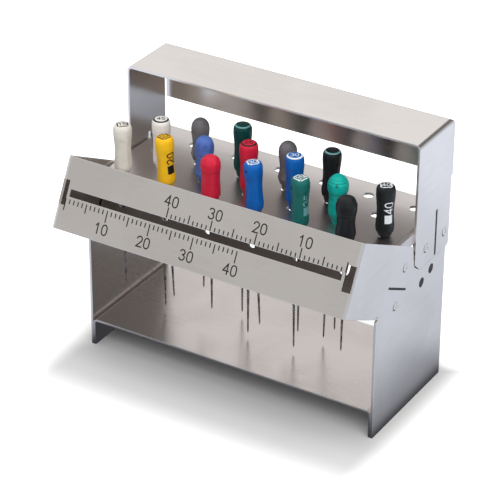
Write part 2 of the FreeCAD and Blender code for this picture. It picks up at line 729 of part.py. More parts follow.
def check(pieces):
    """Stops the build when anything in the document failed."""
    for item in doc.Objects:
        if "Invalid" in item.State or "Error" in item.State:
            raise RuntimeError("{} failed: {}".format(item.Name, item.State))
    for piece in pieces:
        if piece.Shape.isNull() or not piece.Shape.isValid():
            raise RuntimeError("{} has no valid shape".format(piece.Label))


def main():
    """Builds the stand and writes one file for each piece."""
    fill_sheet()
    back = (size["panel_front"] - size["flange_set"] - size["gauge"]) / 2
    pieces = [make_hoop(back), make_ruler(back), make_guide(back), make_plate(back), make_shelf(back)]
    pieces += make_files(back)
    doc.recompute()
    check(pieces)
    os.makedirs("parts", exist_ok=True)
    for piece in pieces:
        piece.Shape.exportStep(os.path.join("parts", piece.Label + ".step"))
        print(piece.Label, len(piece.Shape.Solids), round(piece.Shape.Volume, 3))


main()
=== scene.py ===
"""Endodontic file stand: finishes, ruler scale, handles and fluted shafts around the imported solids.

Lengths in this script are millimetres and become metres where a mesh is made. X runs along the ruler,
-Y is the front and +Z is up, as in the frame. Angles are degrees unless a name says otherwise.
"""

import logging
import math
from collections.abc import Callable
from dataclasses import dataclass
from enum import Enum

import bpy
import numpy as np
from mathutils import Matrix, Vector


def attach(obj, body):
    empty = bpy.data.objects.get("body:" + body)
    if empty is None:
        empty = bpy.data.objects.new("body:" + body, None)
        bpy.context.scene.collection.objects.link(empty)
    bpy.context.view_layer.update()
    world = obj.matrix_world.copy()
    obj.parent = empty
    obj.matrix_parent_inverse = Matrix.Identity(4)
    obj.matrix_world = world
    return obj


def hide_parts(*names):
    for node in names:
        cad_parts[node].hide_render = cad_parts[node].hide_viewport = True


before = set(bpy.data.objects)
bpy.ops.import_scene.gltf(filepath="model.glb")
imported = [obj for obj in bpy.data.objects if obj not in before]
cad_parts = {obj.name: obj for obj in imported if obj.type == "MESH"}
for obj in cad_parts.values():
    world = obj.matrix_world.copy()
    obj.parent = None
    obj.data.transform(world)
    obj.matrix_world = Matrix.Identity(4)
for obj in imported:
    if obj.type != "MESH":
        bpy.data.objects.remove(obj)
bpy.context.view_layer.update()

MM = 0.001
BODY = "root"
log = logging.getLogger("file_stand")

Colour = tuple[float, float, float]
Point = tuple[float, float]
Spot = tuple[float, float, float]
Placer = Callable[[float, float], Spot]


def srgb(red: int, green: int, blue: int) -> Colour:
    """Turns a colour as it shows on screen into linear light.

    Args:
        red: Red from 0 to 255.
        green: Green from 0 to 255.
        blue: Blue from 0 to 255.

    Returns:
        The linear colour.
    """
    def line(value: int) -> float:
        """Returns one channel as linear light."""
        share = value / 255
        return share / 12.92 if share <= 0.04045 else ((share + 0.055) / 1.055) ** 2.4
    return line(red), line(green), line(blue)


class Ink(Enum):
    """Colours of the printed and engraved marks, and of the painted shade in slits, holes and dimple rims."""

    DARK = srgb(16, 14, 14)
    PALE = srgb(232, 238, 242)
    FAINT = srgb(112, 168, 172)
    # Painted shade: the dark put into the slits, wall holes and dimple rims, where there is only shade.
    SHADE = srgb(30, 27, 26)


class Crown(Enum):
    """What is marked on the top of a handle."""

    BARE = "bare"
    SQUARE = "square"
    RING = "ring"


# ---------------------------------------------------------------- node groups


class Nodes:
    """A node tree with short ways to add and join nodes."""

    def __init__(self, tree: bpy.types.NodeTree) -> None:
        """Keeps the tree.

        Args:
            tree: The tree that nodes are added to.
        """
        self.tree = tree

    def add(self, kind: str, **values: object) -> bpy.types.Node:
        """Adds a node.

        Args:
            kind: Blender's name of the node type.
            values: Properties of the node.

        Returns:
            The new node.
        """
        node = self.tree.nodes.new(kind)
        for name, value in values.items():
            setattr(node, name, value)
        return node

    def join(self, source: bpy.types.NodeSocket, target: bpy.types.NodeSocket) -> None:
        """Joins an output to an input."""
        self.tree.links.new(source, target)

    def math(self, operation: str, first: object, second: object = 0.0) -> bpy.types.NodeSocket:
        """Adds a calculation.

        Args:
            operation: Name of the calculation.
            first: A socket or a number.
            second: A socket or a number.

        Returns:
            The socket with the result.
        """
        node = self.add("ShaderNodeMath", operation=operation)
        for index, value in enumerate((first, second)):
            if isinstance(value, bpy.types.NodeSocket):
                self.join(value, node.inputs[index])
            else:
                node.inputs[index].default_value = value
        return node.outputs[0]

    def mix(self, factor: object, first: object, second: object) -> bpy.types.NodeSocket:
        """Mixes two colours.

        Args:
            factor: A socket or a number from 0 to 1.
            first: A socket or a colour, shown at 0.
            second: A socket or a colour, shown at 1.

        Returns:
            The socket with the mixed colour.
        """
        node = self.add("ShaderNodeMix", data_type="RGBA")
        for index, value in ((0, factor), (6, first), (7, second)):
            if isinstance(value, bpy.types.NodeSocket):
                self.join(value, node.inputs[index])
            elif index == 0:
                node.inputs[index].default_value = value
            else:
                node.inputs[index].default_value = (*value, 1.0)
        return node.outputs[2]

    def ramp(self, value: bpy.types.NodeSocket, low: float, high: float) -> bpy.types.NodeSocket:
        """Stretches the part of a value between two limits to 0 to 1.

        Args:
            value: The value.
            low: Limit that becomes 0.
            high: Limit that becomes 1.

        Returns:
            The socket with the stretched value.
        """
        node = self.add("ShaderNodeMapRange", interpolation_type="SMOOTHSTEP")
        self.join(value, node.inputs["Value"])
        node.inputs["From Min"].default_value = low
        node.inputs["From Max"].default_value = high
        return node.outputs["Result"]

    def share(self, value: bpy.types.NodeSocket, low: float, high: float, most: float) -> bpy.types.NodeSocket:
        """Turns the part of a value between two limits into 0 to the given most.

        Args:
            value: The value.
            low: Limit that becomes 0.
            high: Limit that becomes the most.
            most: The greatest result.

        Returns:
            The socket with the result.
        """
        return self.math("MULTIPLY", self.ramp(value, low, high), most)

    def total(self, *parts: bpy.types.NodeSocket) -> bpy.types.NodeSocket:
        """Returns the sum of some sockets."""
        result = parts[0]
        for part in parts[1:]:
            result = self.math("ADD", result, part)
        return result

    def noise(self, vector: bpy.types.NodeSocket, scale: float, detail: float = 2.0) -> bpy.types.NodeSocket:
        """Adds a noise pattern.

        Args:
            vector: Where the pattern is read.
            scale: How fine it is.
            detail: How many finer layers it has.

        Returns:
            The socket with the value.
        """
        node = self.add("ShaderNodeTexNoise")
        self.join(vector, node.inputs["Vector"])
        node.inputs["Scale"].default_value = scale
        node.inputs["Detail"].default_value = detail
        return node.outputs["Fac"]


class GroupSocket(Enum):
    """Kinds of value that pass in and out of a group."""

    NUMBER = "NodeSocketFloat"
    VECTOR = "NodeSocketVector"
    COLOUR = "NodeSocketColor"


class Effect:
    """A surface effect that several finishes share, built once as a node group."""

    def __init__(self, name: str) -> None:
        """Makes the empty group.

        Args:
            name: Name of the effect.
        """
        self.tree = bpy.data.node_groups.new(name, "ShaderNodeTree")
        self.nodes = Nodes(self.tree)
        self.entry = self.nodes.add("NodeGroupInput")
        self.exit = self.nodes.add("NodeGroupOutput")

    def take(self, name: str, kind: GroupSocket, value: float = 0.0) -> bpy.types.NodeSocket:
        """Adds an input.

        Args:
            name: Its name.
            kind: What it carries.
            value: Its value where nothing is joined to it.

        Returns:
            The socket inside the group.
        """
        socket = self.tree.interface.new_socket(name=name, in_out="INPUT", socket_type=kind.value)
        if kind is GroupSocket.NUMBER:
            socket.default_value = value
        return self.entry.outputs[name]

    def give(self, name: str, kind: GroupSocket, source: bpy.types.NodeSocket) -> None:
        """Adds an output.

        Args:
            name: Its name.
            kind: What it carries.
            source: The socket that feeds it.
        """
        self.tree.interface.new_socket(name=name, in_out="OUTPUT", socket_type=kind.value)
        self.nodes.join(source, self.exit.inputs[name])


def grain_effect() -> bpy.types.NodeTree:
    """Builds the rolled grain of sheet steel: fine lines along X, or along Y on sideways faces, and scratches.

    Returns:
        The group, with Place and Depth in, Shade and Height out.
    """
    effect = Effect("rolled_grain")
    place = effect.take("Place", GroupSocket.VECTOR)
    depth = effect.take("Depth", GroupSocket.NUMBER, 1.0)
    nodes = effect.nodes
    sideways = nodes.add("ShaderNodeSeparateXYZ")
    nodes.join(nodes.add("ShaderNodeNewGeometry").outputs["True Normal"], sideways.inputs["Vector"])
    facing = nodes.ramp(nodes.math("ABSOLUTE", sideways.outputs["X"]), 0.6, 0.8)
    parts = nodes.add("ShaderNodeSeparateXYZ")
    nodes.join(place, parts.inputs["Vector"])
    turned = nodes.add("ShaderNodeCombineXYZ")
    for index, axis in enumerate("YXZ"):
        nodes.join(parts.outputs[axis], turned.inputs[index])
    along = nodes.mix(facing, place, turned.outputs["Vector"])
    fine = nodes.add("ShaderNodeMapping")
    fine.inputs["Scale"].default_value = (260.0, 5200.0, 5200.0)
    nodes.join(along, fine.inputs["Vector"])
    wide = nodes.add("ShaderNodeMapping")
    wide.inputs["Scale"].default_value = (60.0, 900.0, 900.0)
    wide.inputs["Location"].default_value = (3.1, 7.7, 1.3)
    nodes.join(along, wide.inputs["Vector"])
    lines = nodes.noise(fine.outputs["Vector"], 1.0, 3.0)
    bands = nodes.noise(wide.outputs["Vector"], 1.0, 2.0)
    scratch = nodes.ramp(nodes.noise(wide.outputs["Vector"], 3.7, 0.0), 0.68, 0.74)
    mixed = nodes.math("ADD", nodes.math("MULTIPLY", lines, 0.65), nodes.math("MULTIPLY", bands, 0.35))
    shade = nodes.math("SUBTRACT", mixed, nodes.math("MULTIPLY", scratch, 0.12))
    effect.give("Shade", GroupSocket.NUMBER, shade)
    effect.give("Height", GroupSocket.NUMBER, nodes.math("MULTIPLY", shade, depth))
    return effect.tree


def handling_effect() -> bpy.types.NodeTree:
    """Builds the soft blotches that handling and the steriliser leave.

    Returns:
        The group, with Place and Fineness in and Mask out.
    """
    effect = Effect("handling_blotches")
    place = effect.take("Place", GroupSocket.VECTOR)
    fineness = effect.take("Fineness", GroupSocket.NUMBER, 60.0)
    nodes = effect.nodes
    soft = nodes.add("ShaderNodeTexNoise")
    nodes.join(place, soft.inputs["Vector"])
    nodes.join(fineness, soft.inputs["Scale"])
    soft.inputs["Detail"].default_value = 4.0
    soft.inputs["Distortion"].default_value = 0.6
    effect.give("Mask", GroupSocket.NUMBER, nodes.ramp(soft.outputs["Fac"], 0.38, 0.68))
    return effect.tree


def edge_effect() -> bpy.types.NodeTree:
    """Builds the edge mask, from how far the rounded normal leaves the true one; the steel uses it for rubbed wear
    and painted highlight.

    Returns:
        The group, with Strength in, Mask and Normal out.
    """
    effect = Effect("edge_wear_and_painted_highlight")
    strength = effect.take("Strength", GroupSocket.NUMBER, 1.0)
    nodes = effect.nodes
    bevel = nodes.add("ShaderNodeBevel", samples=6)
    bevel.inputs["Radius"].default_value = 0.16 * MM
    true = nodes.add("ShaderNodeNewGeometry")
    dot = nodes.add("ShaderNodeVectorMath", operation="DOT_PRODUCT")
    nodes.join(bevel.outputs["Normal"], dot.inputs[0])
    nodes.join(true.outputs["Normal"], dot.inputs[1])
    away = nodes.math("SUBTRACT", 1.0, dot.outputs["Value"])
    mask = nodes.math("MULTIPLY", nodes.ramp(away, 0.015, 0.16), strength)
    effect.give("Mask", GroupSocket.NUMBER, mask)
    effect.give("Normal", GroupSocket.VECTOR, bevel.outputs["Normal"])
    return effect.tree


@dataclass
class Effects:
    """The shared effects."""

    grain: bpy.types.NodeTree
    handling: bpy.types.NodeTree
    edges: bpy.types.NodeTree

    @classmethod
    def build(cls) -> "Effects":
        """Returns all the effects, each built once."""
        return cls(grain_effect(), handling_effect(), edge_effect())


def place_group(nodes: Nodes, tree: bpy.types.NodeTree, **inputs: object) -> bpy.types.Node:
    """Puts an effect into a material.

    Args:
        nodes: The material's nodes.
        tree: The effect.
        inputs: Sockets or numbers for its inputs.

    Returns:
        The group node.
    """
    group = nodes.add("ShaderNodeGroup", node_tree=tree)
    for name, value in inputs.items():
        if isinstance(value, bpy.types.NodeSocket):
            nodes.join(value, group.inputs[name])
        else:
            group.inputs[name].default_value = value
    return group


def start_material(name: str) -> tuple[bpy.types.Material, Nodes, bpy.types.Node]:
    """Makes an empty node material.

    Args:
        name: Its name.

    Returns:
        The material, its nodes and its Principled BSDF.
    """
    material = bpy.data.materials.new(name)
    material.use_nodes = True
    material.node_tree.nodes.clear()
    nodes = Nodes(material.node_tree)
    shader = nodes.add("ShaderNodeBsdfPrincipled")
    output = nodes.add("ShaderNodeOutputMaterial")
    nodes.join(shader.outputs["BSDF"], output.inputs["Surface"])
    return material, nodes, shader


# ---------------------------------------------------------------- finishes


@dataclass(frozen=True)
class SteelFinish:
    """Rolled bare sheet steel whose edges are lighter, partly rubbed wear and partly painted highlight."""

    name: str
    tint: Colour
    dull: Colour
    roughness: float
    grain: float
    blotch: float

    def build(self, effects: Effects) -> bpy.types.Material:
        """Builds the material.

        Args:
            effects: The shared effects.

        Returns:
            The material.
        """
        material, nodes, shader = start_material(self.name)
        place = nodes.add("ShaderNodeTexCoord").outputs["Object"]
        grain = place_group(nodes, effects.grain, Place=place, Depth=1.0)
        blotches = place_group(nodes, effects.handling, Place=place, Fineness=55.0)
        edges = place_group(nodes, effects.edges, Strength=0.85)
        lines = nodes.math("MULTIPLY", nodes.math("SUBTRACT", grain.outputs["Shade"], 0.5), self.grain)
        worn = nodes.math("MULTIPLY", blotches.outputs["Mask"], self.blotch)
        dulling = nodes.math("ADD", nodes.math("MULTIPLY", lines, 2.0), worn)
        sheet = nodes.mix(dulling, self.tint, self.dull)
        # The edges go near white, partly rubbed wear and partly a painted highlight.
        bright = nodes.mix(edges.outputs["Mask"], sheet, (0.97, 0.96, 0.95))
        nodes.join(bright, shader.inputs["Base Color"])
        spread = nodes.math("ADD", nodes.math("MULTIPLY", worn, 0.12), self.roughness)
        nodes.join(nodes.math("ADD", spread, nodes.math("MULTIPLY", lines, 0.5)), shader.inputs["Roughness"])
        bump = nodes.add("ShaderNodeBump")
        bump.inputs["Strength"].default_value = 0.25
        bump.inputs["Distance"].default_value = 0.004 * MM
        nodes.join(grain.outputs["Height"], bump.inputs["Height"])
        nodes.join(edges.outputs["Normal"], bump.inputs["Normal"])
        nodes.join(bump.outputs["Normal"], shader.inputs["Normal"])
        shader.inputs["Metallic"].default_value = 1.0
        return material


@dataclass(frozen=True)
class PlasticFinish:
    """Moulded handle plastic, softly glossy, with faint mottling and a fine moulded skin."""

    name: str
    colour: Colour
    deep: Colour
    roughness: float = 0.34

    def build(self, effects: Effects) -> bpy.types.Material:
        """Builds the material.

        Args:
            effects: The shared effects.

        Returns:
            The material.
        """
        material, nodes, shader = start_material(self.name)
        place = nodes.add("ShaderNodeTexCoord").outputs["Object"]
        mottle = place_group(nodes, effects.handling, Place=place, Fineness=420.0)
        edges = place_group(nodes, effects.edges, Strength=0.25)
        shade = nodes.math("MULTIPLY", mottle.outputs["Mask"], 0.5)
        body = nodes.mix(shade, self.colour, self.deep)
        # The edges are made lighter than the body.
        lighter_edges = nodes.mix(edges.outputs["Mask"], body, tuple(min(1.0, 0.12 + part) for part in self.colour))
        nodes.join(lighter_edges, shader.inputs["Base Color"])
        rough = nodes.math("ADD", nodes.math("MULTIPLY", mottle.outputs["Mask"], 0.1), self.roughness)
        nodes.join(rough, shader.inputs["Roughness"])
        shader.inputs["Specular IOR Level"].default_value = 0.36
        skin = nodes.noise(place, 5200.0, 2.0)
        bump = nodes.add("ShaderNodeBump")
        bump.inputs["Strength"].default_value = 0.2
        bump.inputs["Distance"].default_value = 0.01 * MM
        nodes.join(skin, bump.inputs["Height"])
        nodes.join(bump.outputs["Normal"], shader.inputs["Normal"])
        return material


@dataclass(frozen=True)
class ShaftFinish:
    """Ground file steel, darker in random patches."""

    name: str
    tint: Colour
    deep: Colour

    def build(self, effects: Effects) -> bpy.types.Material:
        """Builds the material.

        Args:
            effects: The shared effects.

        Returns:
            The material.
        """
        material, nodes, shader = start_material(self.name)
        place = nodes.add("ShaderNodeTexCoord").outputs["Object"]
        marks = place_group(nodes, effects.handling, Place=place, Fineness=900.0)
        nodes.join(nodes.mix(marks.outputs["Mask"], self.tint, self.deep), shader.inputs["Base Color"])
        rough = nodes.math("ADD", nodes.math("MULTIPLY", marks.outputs["Mask"], 0.15), 0.28)
        nodes.join(rough, shader.inputs["Roughness"])
        shader.inputs["Metallic"].default_value = 1.0
        return material


@dataclass(frozen=True)
class InkFinish:
    """Filled engraving or print, matt and a little uneven; the painted shade of slits, holes and dimple rims uses
    it too.
    """

    name: str
    colour: Colour

    def build(self, effects: Effects) -> bpy.types.Material:
        """Builds the material.

        Args:
            effects: The shared effects.

        Returns:
            The material.
        """
        material, nodes, shader = start_material(self.name)
        place = nodes.add("ShaderNodeTexCoord").outputs["Object"]
        uneven = place_group(nodes, effects.handling, Place=place, Fineness=1500.0)
        worn = nodes.math("MULTIPLY", uneven.outputs["Mask"], 0.15)
        pale = tuple(part * 0.85 + 0.03 for part in self.colour)
        nodes.join(nodes.mix(worn, self.colour, pale), shader.inputs["Base Color"])
        nodes.join(nodes.math("ADD", worn, 0.45), shader.inputs["Roughness"])
        return material


SHEET = SteelFinish("sheet_steel", srgb(241, 235, 230), srgb(219, 212, 207), 0.22, 0.32, 0.3)
PLATE = SteelFinish("plate_steel", srgb(226, 220, 217), srgb(202, 195, 192), 0.34, 0.3, 0.3)
SHELF = SteelFinish("shelf_steel", srgb(214, 206, 203), srgb(188, 180, 176), 0.24, 0.24, 0.3)
# Darker copy of the sheet steel for the guide sheet inside the stand: painted shade.
INNER_PAINTED_SHADE = SteelFinish("inner_steel_painted_shade", srgb(148, 140, 134), srgb(120, 113, 108), 0.3, 0.3, 0.4)
SHAFT = ShaftFinish("file_steel", srgb(150, 147, 145), srgb(84, 80, 78))
PLASTICS: dict[str, PlasticFinish] = {
    "beige": PlasticFinish("beige_plastic", srgb(232, 227, 218), srgb(214, 208, 198), 0.4),
    "yellow": PlasticFinish("yellow_plastic", srgb(250, 196, 24), srgb(240, 176, 22)),
    "red": PlasticFinish("red_plastic", srgb(214, 32, 62), srgb(196, 26, 54)),
    "blue": PlasticFinish("blue_plastic", srgb(0, 97, 182), srgb(8, 80, 156)),
    "green": PlasticFinish("green_plastic", srgb(18, 104, 98), srgb(16, 86, 84)),
    "dark_green": PlasticFinish("dark_green_plastic", srgb(6, 66, 62), srgb(4, 52, 50), 0.3),
    "black": PlasticFinish("black_plastic", srgb(24, 28, 31), srgb(16, 19, 22)),
    "white": PlasticFinish("white_plastic", srgb(241, 238, 233), srgb(224, 219, 212), 0.4),
    "periwinkle": PlasticFinish("periwinkle_plastic", srgb(86, 118, 192), srgb(70, 98, 170)),
    "teal": PlasticFinish("teal_plastic", srgb(8, 176, 164), srgb(8, 150, 140)),
    "grey": PlasticFinish("grey_plastic", srgb(116, 113, 117), srgb(94, 91, 95)),
}


class Paints:
    """Keeps each material, built when it is first asked for."""

    def __init__(self) -> None:
        """Builds the shared effects."""
        self.effects = Effects.build()
        self.made: dict[str, bpy.types.Material] = {}

    def get(self, finish: SteelFinish | PlasticFinish | ShaftFinish | InkFinish) -> bpy.types.Material:
        """Returns the material of a finish.

        Args:
            finish: The finish.

        Returns:
            Its material.
        """
        if finish.name not in self.made:
            self.made[finish.name] = finish.build(self.effects)
        return self.made[finish.name]

    def ink(self, ink: Ink) -> bpy.types.Material:
        """Returns the material of an ink."""
        return self.get(InkFinish(ink.name.lower() + "_ink", ink.value))


# ---------------------------------------------------------------- meshes


class MeshDraft:
    """Corners and faces of one piece, in millimetres."""

    def __init__(self) -> None:
        """Starts with nothing."""
        self.corners: list[Spot] = []
        self.faces: list[tuple[int, ...]] = []

    def patch(self, spots: list[Spot]) -> None:
        """Adds one face.

        Args:
            spots: Its corners, counter-clockwise from outside.
        """
        start = len(self.corners)
        self.corners.extend(spots)
        self.faces.append(tuple(range(start, start + len(spots))))

    def rings(self, rings: list[list[Spot]], closed_low: bool = True, closed_high: bool = True) -> None:
        """Adds a skin through rings of equal count, from low to high.

        Args:
            rings: The rings.
            closed_low: Whether the first ring gets a lid.
            closed_high: Whether the last ring gets a lid.
        """
        start = len(self.corners)
        count = len(rings[0])
        for ring in rings:
            self.corners.extend(ring)
        for level in range(len(rings) - 1):
            low = start + level * count
            for index in range(count):
                after = (index + 1) % count
                self.faces.append((low + index, low + after, low + count + after, low + count + index))
        if closed_low:
            self.faces.append(tuple(start + index for index in reversed(range(count))))
        if closed_high:
            top = start + (len(rings) - 1) * count
            self.faces.append(tuple(top + index for index in range(count)))

    def build(self, name: str, material: bpy.types.Material, smooth: float | None = None) -> bpy.types.Object:
        """Makes the object.

        Args:
            name: Its name.
            material: Its material.
            smooth: Angle below which edges are shaded smooth, or None for flat.

        Returns:
            The object, linked to the scene.
        """
        mesh = bpy.data.meshes.new(name)
        mesh.from_pydata([tuple(part * MM for part in spot) for spot in self.corners], [], self.faces)
        mesh.materials.append(material)
        mesh.update()
        piece = bpy.data.objects.new(name, mesh)
        bpy.context.scene.collection.objects.link(piece)
        if smooth is not None:
            mesh.shade_smooth()
            mesh.set_sharp_from_angle(angle=math.radians(smooth))
        return piece


def arc(centre: Point, radii: Point, start: float, end: float, steps: int = 10) -> list[Point]:
    """Samples part of an ellipse.

    Args:
        centre: Its middle.
        radii: Its two radii.
        start: First angle.
        end: Last angle.
        steps: Number of steps.

    Returns:
        The points.
    """
    angles = [math.radians(start + (end - start) * step / steps) for step in range(steps + 1)]
    return [(centre[0] + radii[0] * math.cos(a), centre[1] + radii[1] * math.sin(a)) for a in angles]


class StrokeDigits:
    """Plain single-stroke figures, one unit tall and 0.6 wide."""

    WIDTH = 0.6
    ADVANCE = 0.82
    STROKES: dict[str, list[list[Point]]] = {
        "0": [arc((0.3, 0.66), (0.28, 0.34), 0, 180) + arc((0.3, 0.34), (0.28, 0.34), 180, 360) + [(0.58, 0.66)]],
        "1": [[(0.12, 0.78), (0.34, 1.0), (0.34, 0.0)]],
        "2": [arc((0.3, 0.72), (0.27, 0.28), 170, -35) + [(0.03, 0.0), (0.6, 0.0)]],
        "3": [arc((0.28, 0.76), (0.25, 0.24), 160, -85), arc((0.28, 0.27), (0.29, 0.27), 85, -160)],
        "4": [[(0.44, 0.0), (0.44, 1.0), (0.0, 0.3), (0.6, 0.3)]],
        "5": [[(0.54, 1.0), (0.1, 1.0), (0.06, 0.55)] + arc((0.28, 0.31), (0.3, 0.31), 130, -150)],
    }

    @classmethod
    def draw(cls, draft: MeshDraft, text: str, tall: float, stroke: float, place: Placer) -> None:
        """Adds a number to a mesh, centred on the placer's zero.

        Args:
            draft: The mesh.
            text: The figures.
            tall: Height of the figures.
            stroke: Width of the stroke.
            place: Gives the spot of a point across and up the number.
        """
        whole = (len(text) - 1) * cls.ADVANCE + cls.WIDTH
        for index, figure in enumerate(text):
            shift = index * cls.ADVANCE - whole / 2
            for line in cls.STROKES[figure]:
                points = [((across + shift) * tall, (up - 0.5) * tall) for across, up in line]
                ribbon(draft, split(points, 0.3), stroke, place)


def split(points: list[Point], longest: float) -> list[Point]:
    """Adds points to a line, so that it can follow a curved skin.

    Args:
        points: The line.
        longest: Greatest distance between two points.

    Returns:
        The finer line.
    """
    finer: list[Point] = [points[0]]
    for start, end in zip(points, points[1:]):
        count = max(1, math.ceil(math.dist(start, end) / longest))
        finer += [tuple(Vector(start).lerp(Vector(end), step / count)) for step in range(1, count + 1)]
    return finer


def ribbon(draft: MeshDraft, points: list[Point], stroke: float, place: Placer, closed: bool = False) -> None:
    """Adds a flat line of even width along some points.

    Args:
        draft: The mesh.
        points: The points.
        stroke: The line's width.
        place: Gives the spot of a point.
        closed: Whether the last point joins the first.
    """
    count = len(points)
    pairs: list[tuple[Point, Point]] = []
    for index, (across, up) in enumerate(points):
        before = points[index - 1] if index or closed else points[index]
        after = points[(index + 1) % count] if index < count - 1 or closed else points[index]
        ahead = Vector((after[0] - across, after[1] - up))
        behind = Vector((across - before[0], up - before[1]))
        ahead = ahead.normalized() if ahead.length else behind.normalized()
        behind = behind.normalized() if behind.length else ahead
        middle = (ahead + behind)
        middle = middle.normalized() if middle.length > 0.01 else ahead
        reach = stroke / 2 / max(0.45, abs(middle.dot(ahead)))
        side = Vector((-middle.y, middle.x)) * reach
        end = Vector((0.0, 0.0))
        if not closed and index == 0:
            end = -ahead * stroke * 0.35
        if not closed and index == count - 1:
            end = behind * stroke * 0.35
        base = Vector((across, up)) + end
        pairs.append((tuple(base + side), tuple(base - side)))
    last = count if closed else count - 1
    for index in range(last):
        (left, right), (next_left, next_right) = pairs[index], pairs[(index + 1) % count]
        draft.patch([place(*right), place(*next_right), place(*next_left), place(*left)])


# ---------------------------------------------------------------- ruler


@dataclass(frozen=True)
class RulerScale:
    """Two opposed millimetre scales filled black on the leaning front panel."""

    front: float = -21.6
    low: float = 34.3
    tilt: float = 27.55
    proud: float = 0.012
    length: int = 40
    left_zero: float = -31.59
    right_zero: float = 31.56
    lower_start: float = 6.45
    upper_start: float = 8.64
    lower_ticks: tuple[float, float, float] = (0.95, 1.85, 2.41)
    upper_ticks: tuple[float, float, float] = (0.85, 1.7, 2.04)
    tick: float = 0.24
    stroke: float = 0.26
    tall: float = 2.05
    lower_figures: float = 2.6
    upper_figures: float = 11.95

    def on_panel(self, across: float, up: float) -> Spot:
        """Returns the spot of a point on the panel's face, across and up its slope."""
        lean = math.radians(self.tilt)
        y = self.front - self.proud * math.cos(lean) + up * math.sin(lean)
        z = self.low + self.proud * math.sin(lean) + up * math.cos(lean)
        return across, y, z

    def line(self, draft: MeshDraft, across: float, low: float, high: float) -> None:
        """Adds one upright line.

        Args:
            draft: The mesh.
            across: Its place along the panel.
            low: Its lower end, up the slope.
            high: Its upper end.
        """
        half = self.tick / 2
        place = self.on_panel
        draft.patch([place(across - half, low), place(across + half, low),
                     place(across + half, high), place(across - half, high)])

    def number(self, draft: MeshDraft, value: int, across: float, up: float) -> None:
        """Adds one number.

        Args:
            draft: The mesh.
            value: The number.
            across: Its middle along the panel.
            up: Its middle up the slope.
        """
        def place(right: float, rise: float) -> Spot:
            """Returns the spot of a point of the number."""
            return self.on_panel(across + right, up + rise)
        StrokeDigits.draw(draft, str(value), self.tall, self.stroke, place)

    def build(self, paints: Paints) -> None:
        """Builds the lines and the numbers.

        Args:
            paints: The materials.
        """
        lines = MeshDraft()
        figures = MeshDraft()
        for step in range(self.length + 1):
            kind = 2 if step % 10 == 0 else 1 if step % 5 == 0 else 0
            at = self.left_zero + step
            self.line(lines, at, self.lower_start - self.lower_ticks[kind], self.lower_start)
            at = self.right_zero - step
            self.line(lines, at, self.upper_start, self.upper_start + self.upper_ticks[kind])
        for step in range(10, self.length + 1, 10):
            self.number(figures, step, self.left_zero + step - 0.55, self.lower_figures)
            self.number(figures, step, self.right_zero - step + 0.35, self.upper_figures)
        for name, draft in (("ruler_lines", lines), ("ruler_figures", figures)):
            piece = draft.build(name, paints.ink(Ink.DARK))
            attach(piece, BODY)
            log.info("%s: %d faces", name, len(draft.faces))


# ---------------------------------------------------------------- files


@dataclass(frozen=True)
class Flutes:
    """Upright hollows round part of a handle."""

    count: int
    depth: float
    low: float
    high: float
    blend: float = 0.7

    def sink(self, level: float, angle: float) -> float:
        """Returns how deep the hollows are at a height and an angle in radians."""
        rise = min(1.0, max(0.0, (level - self.low) / self.blend))
        fall = min(1.0, max(0.0, (self.high - level) / self.blend))
        return self.depth * rise * fall * (0.5 + 0.5 * math.cos(self.count * angle))


@dataclass(frozen=True)
class Groove:
    """A ring cut round a handle."""

    level: float
    depth: float
    width: float

    def sink(self, level: float) -> float:
        """Returns how deep the ring is at a height."""
        return self.depth * math.exp(-((level - self.level) / self.width) ** 2)


@dataclass(frozen=True)
class Pattern:
    """Shape of a handle: radii over height, with its hollows and rings."""

    profile: tuple[Point, ...]
    flutes: tuple[Flutes, ...] = ()
    grooves: tuple[Groove, ...] = ()
    neck: float = 0.95

    def radius(self, level: float) -> float:
        """Returns the plain radius at a height, through the profile with a smooth curve."""
        heights = [point[0] for point in self.profile]
        radii = [point[1] for point in self.profile]
        slopes = [(radii[i + 1] - radii[i]) / (heights[i + 1] - heights[i]) for i in range(len(radii) - 1)]
        index = min(len(slopes) - 1, max(0, int(np.searchsorted(heights, level)) - 1))
        span = heights[index + 1] - heights[index]
        share = min(1.0, max(0.0, (level - heights[index]) / span))

        def tangent(point: int) -> float:
            """Returns the slope at one point of the profile, level at its peaks."""
            if point in (0, len(slopes)) or slopes[point - 1] * slopes[point] <= 0:
                return slopes[min(point, len(slopes) - 1)] if point in (0, len(slopes)) else 0.0
            return 2 / (1 / slopes[point - 1] + 1 / slopes[point])
        first = tangent(index) * span
        second = tangent(index + 1) * span
        rest = 1 - share
        value = (1 + 2 * share) * rest * rest * radii[index] + share * rest * rest * first
        return value + share * share * (3 - 2 * share) * radii[index + 1] - share * share * rest * second

    def skin(self, level: float, angle: float) -> float:
        """Returns the radius at a height and an angle, with hollows and rings."""
        radius = self.radius(level)
        radius -= sum(groove.sink(level) for groove in self.grooves)
        return radius - sum(flute.sink(level, angle) for flute in self.flutes)

    @property
    def top(self) -> float:
        """Height of the crown."""
        return self.profile[-1][0]

    @property
    def crown(self) -> float:
        """Radius of the crown."""
        return self.profile[-1][1]


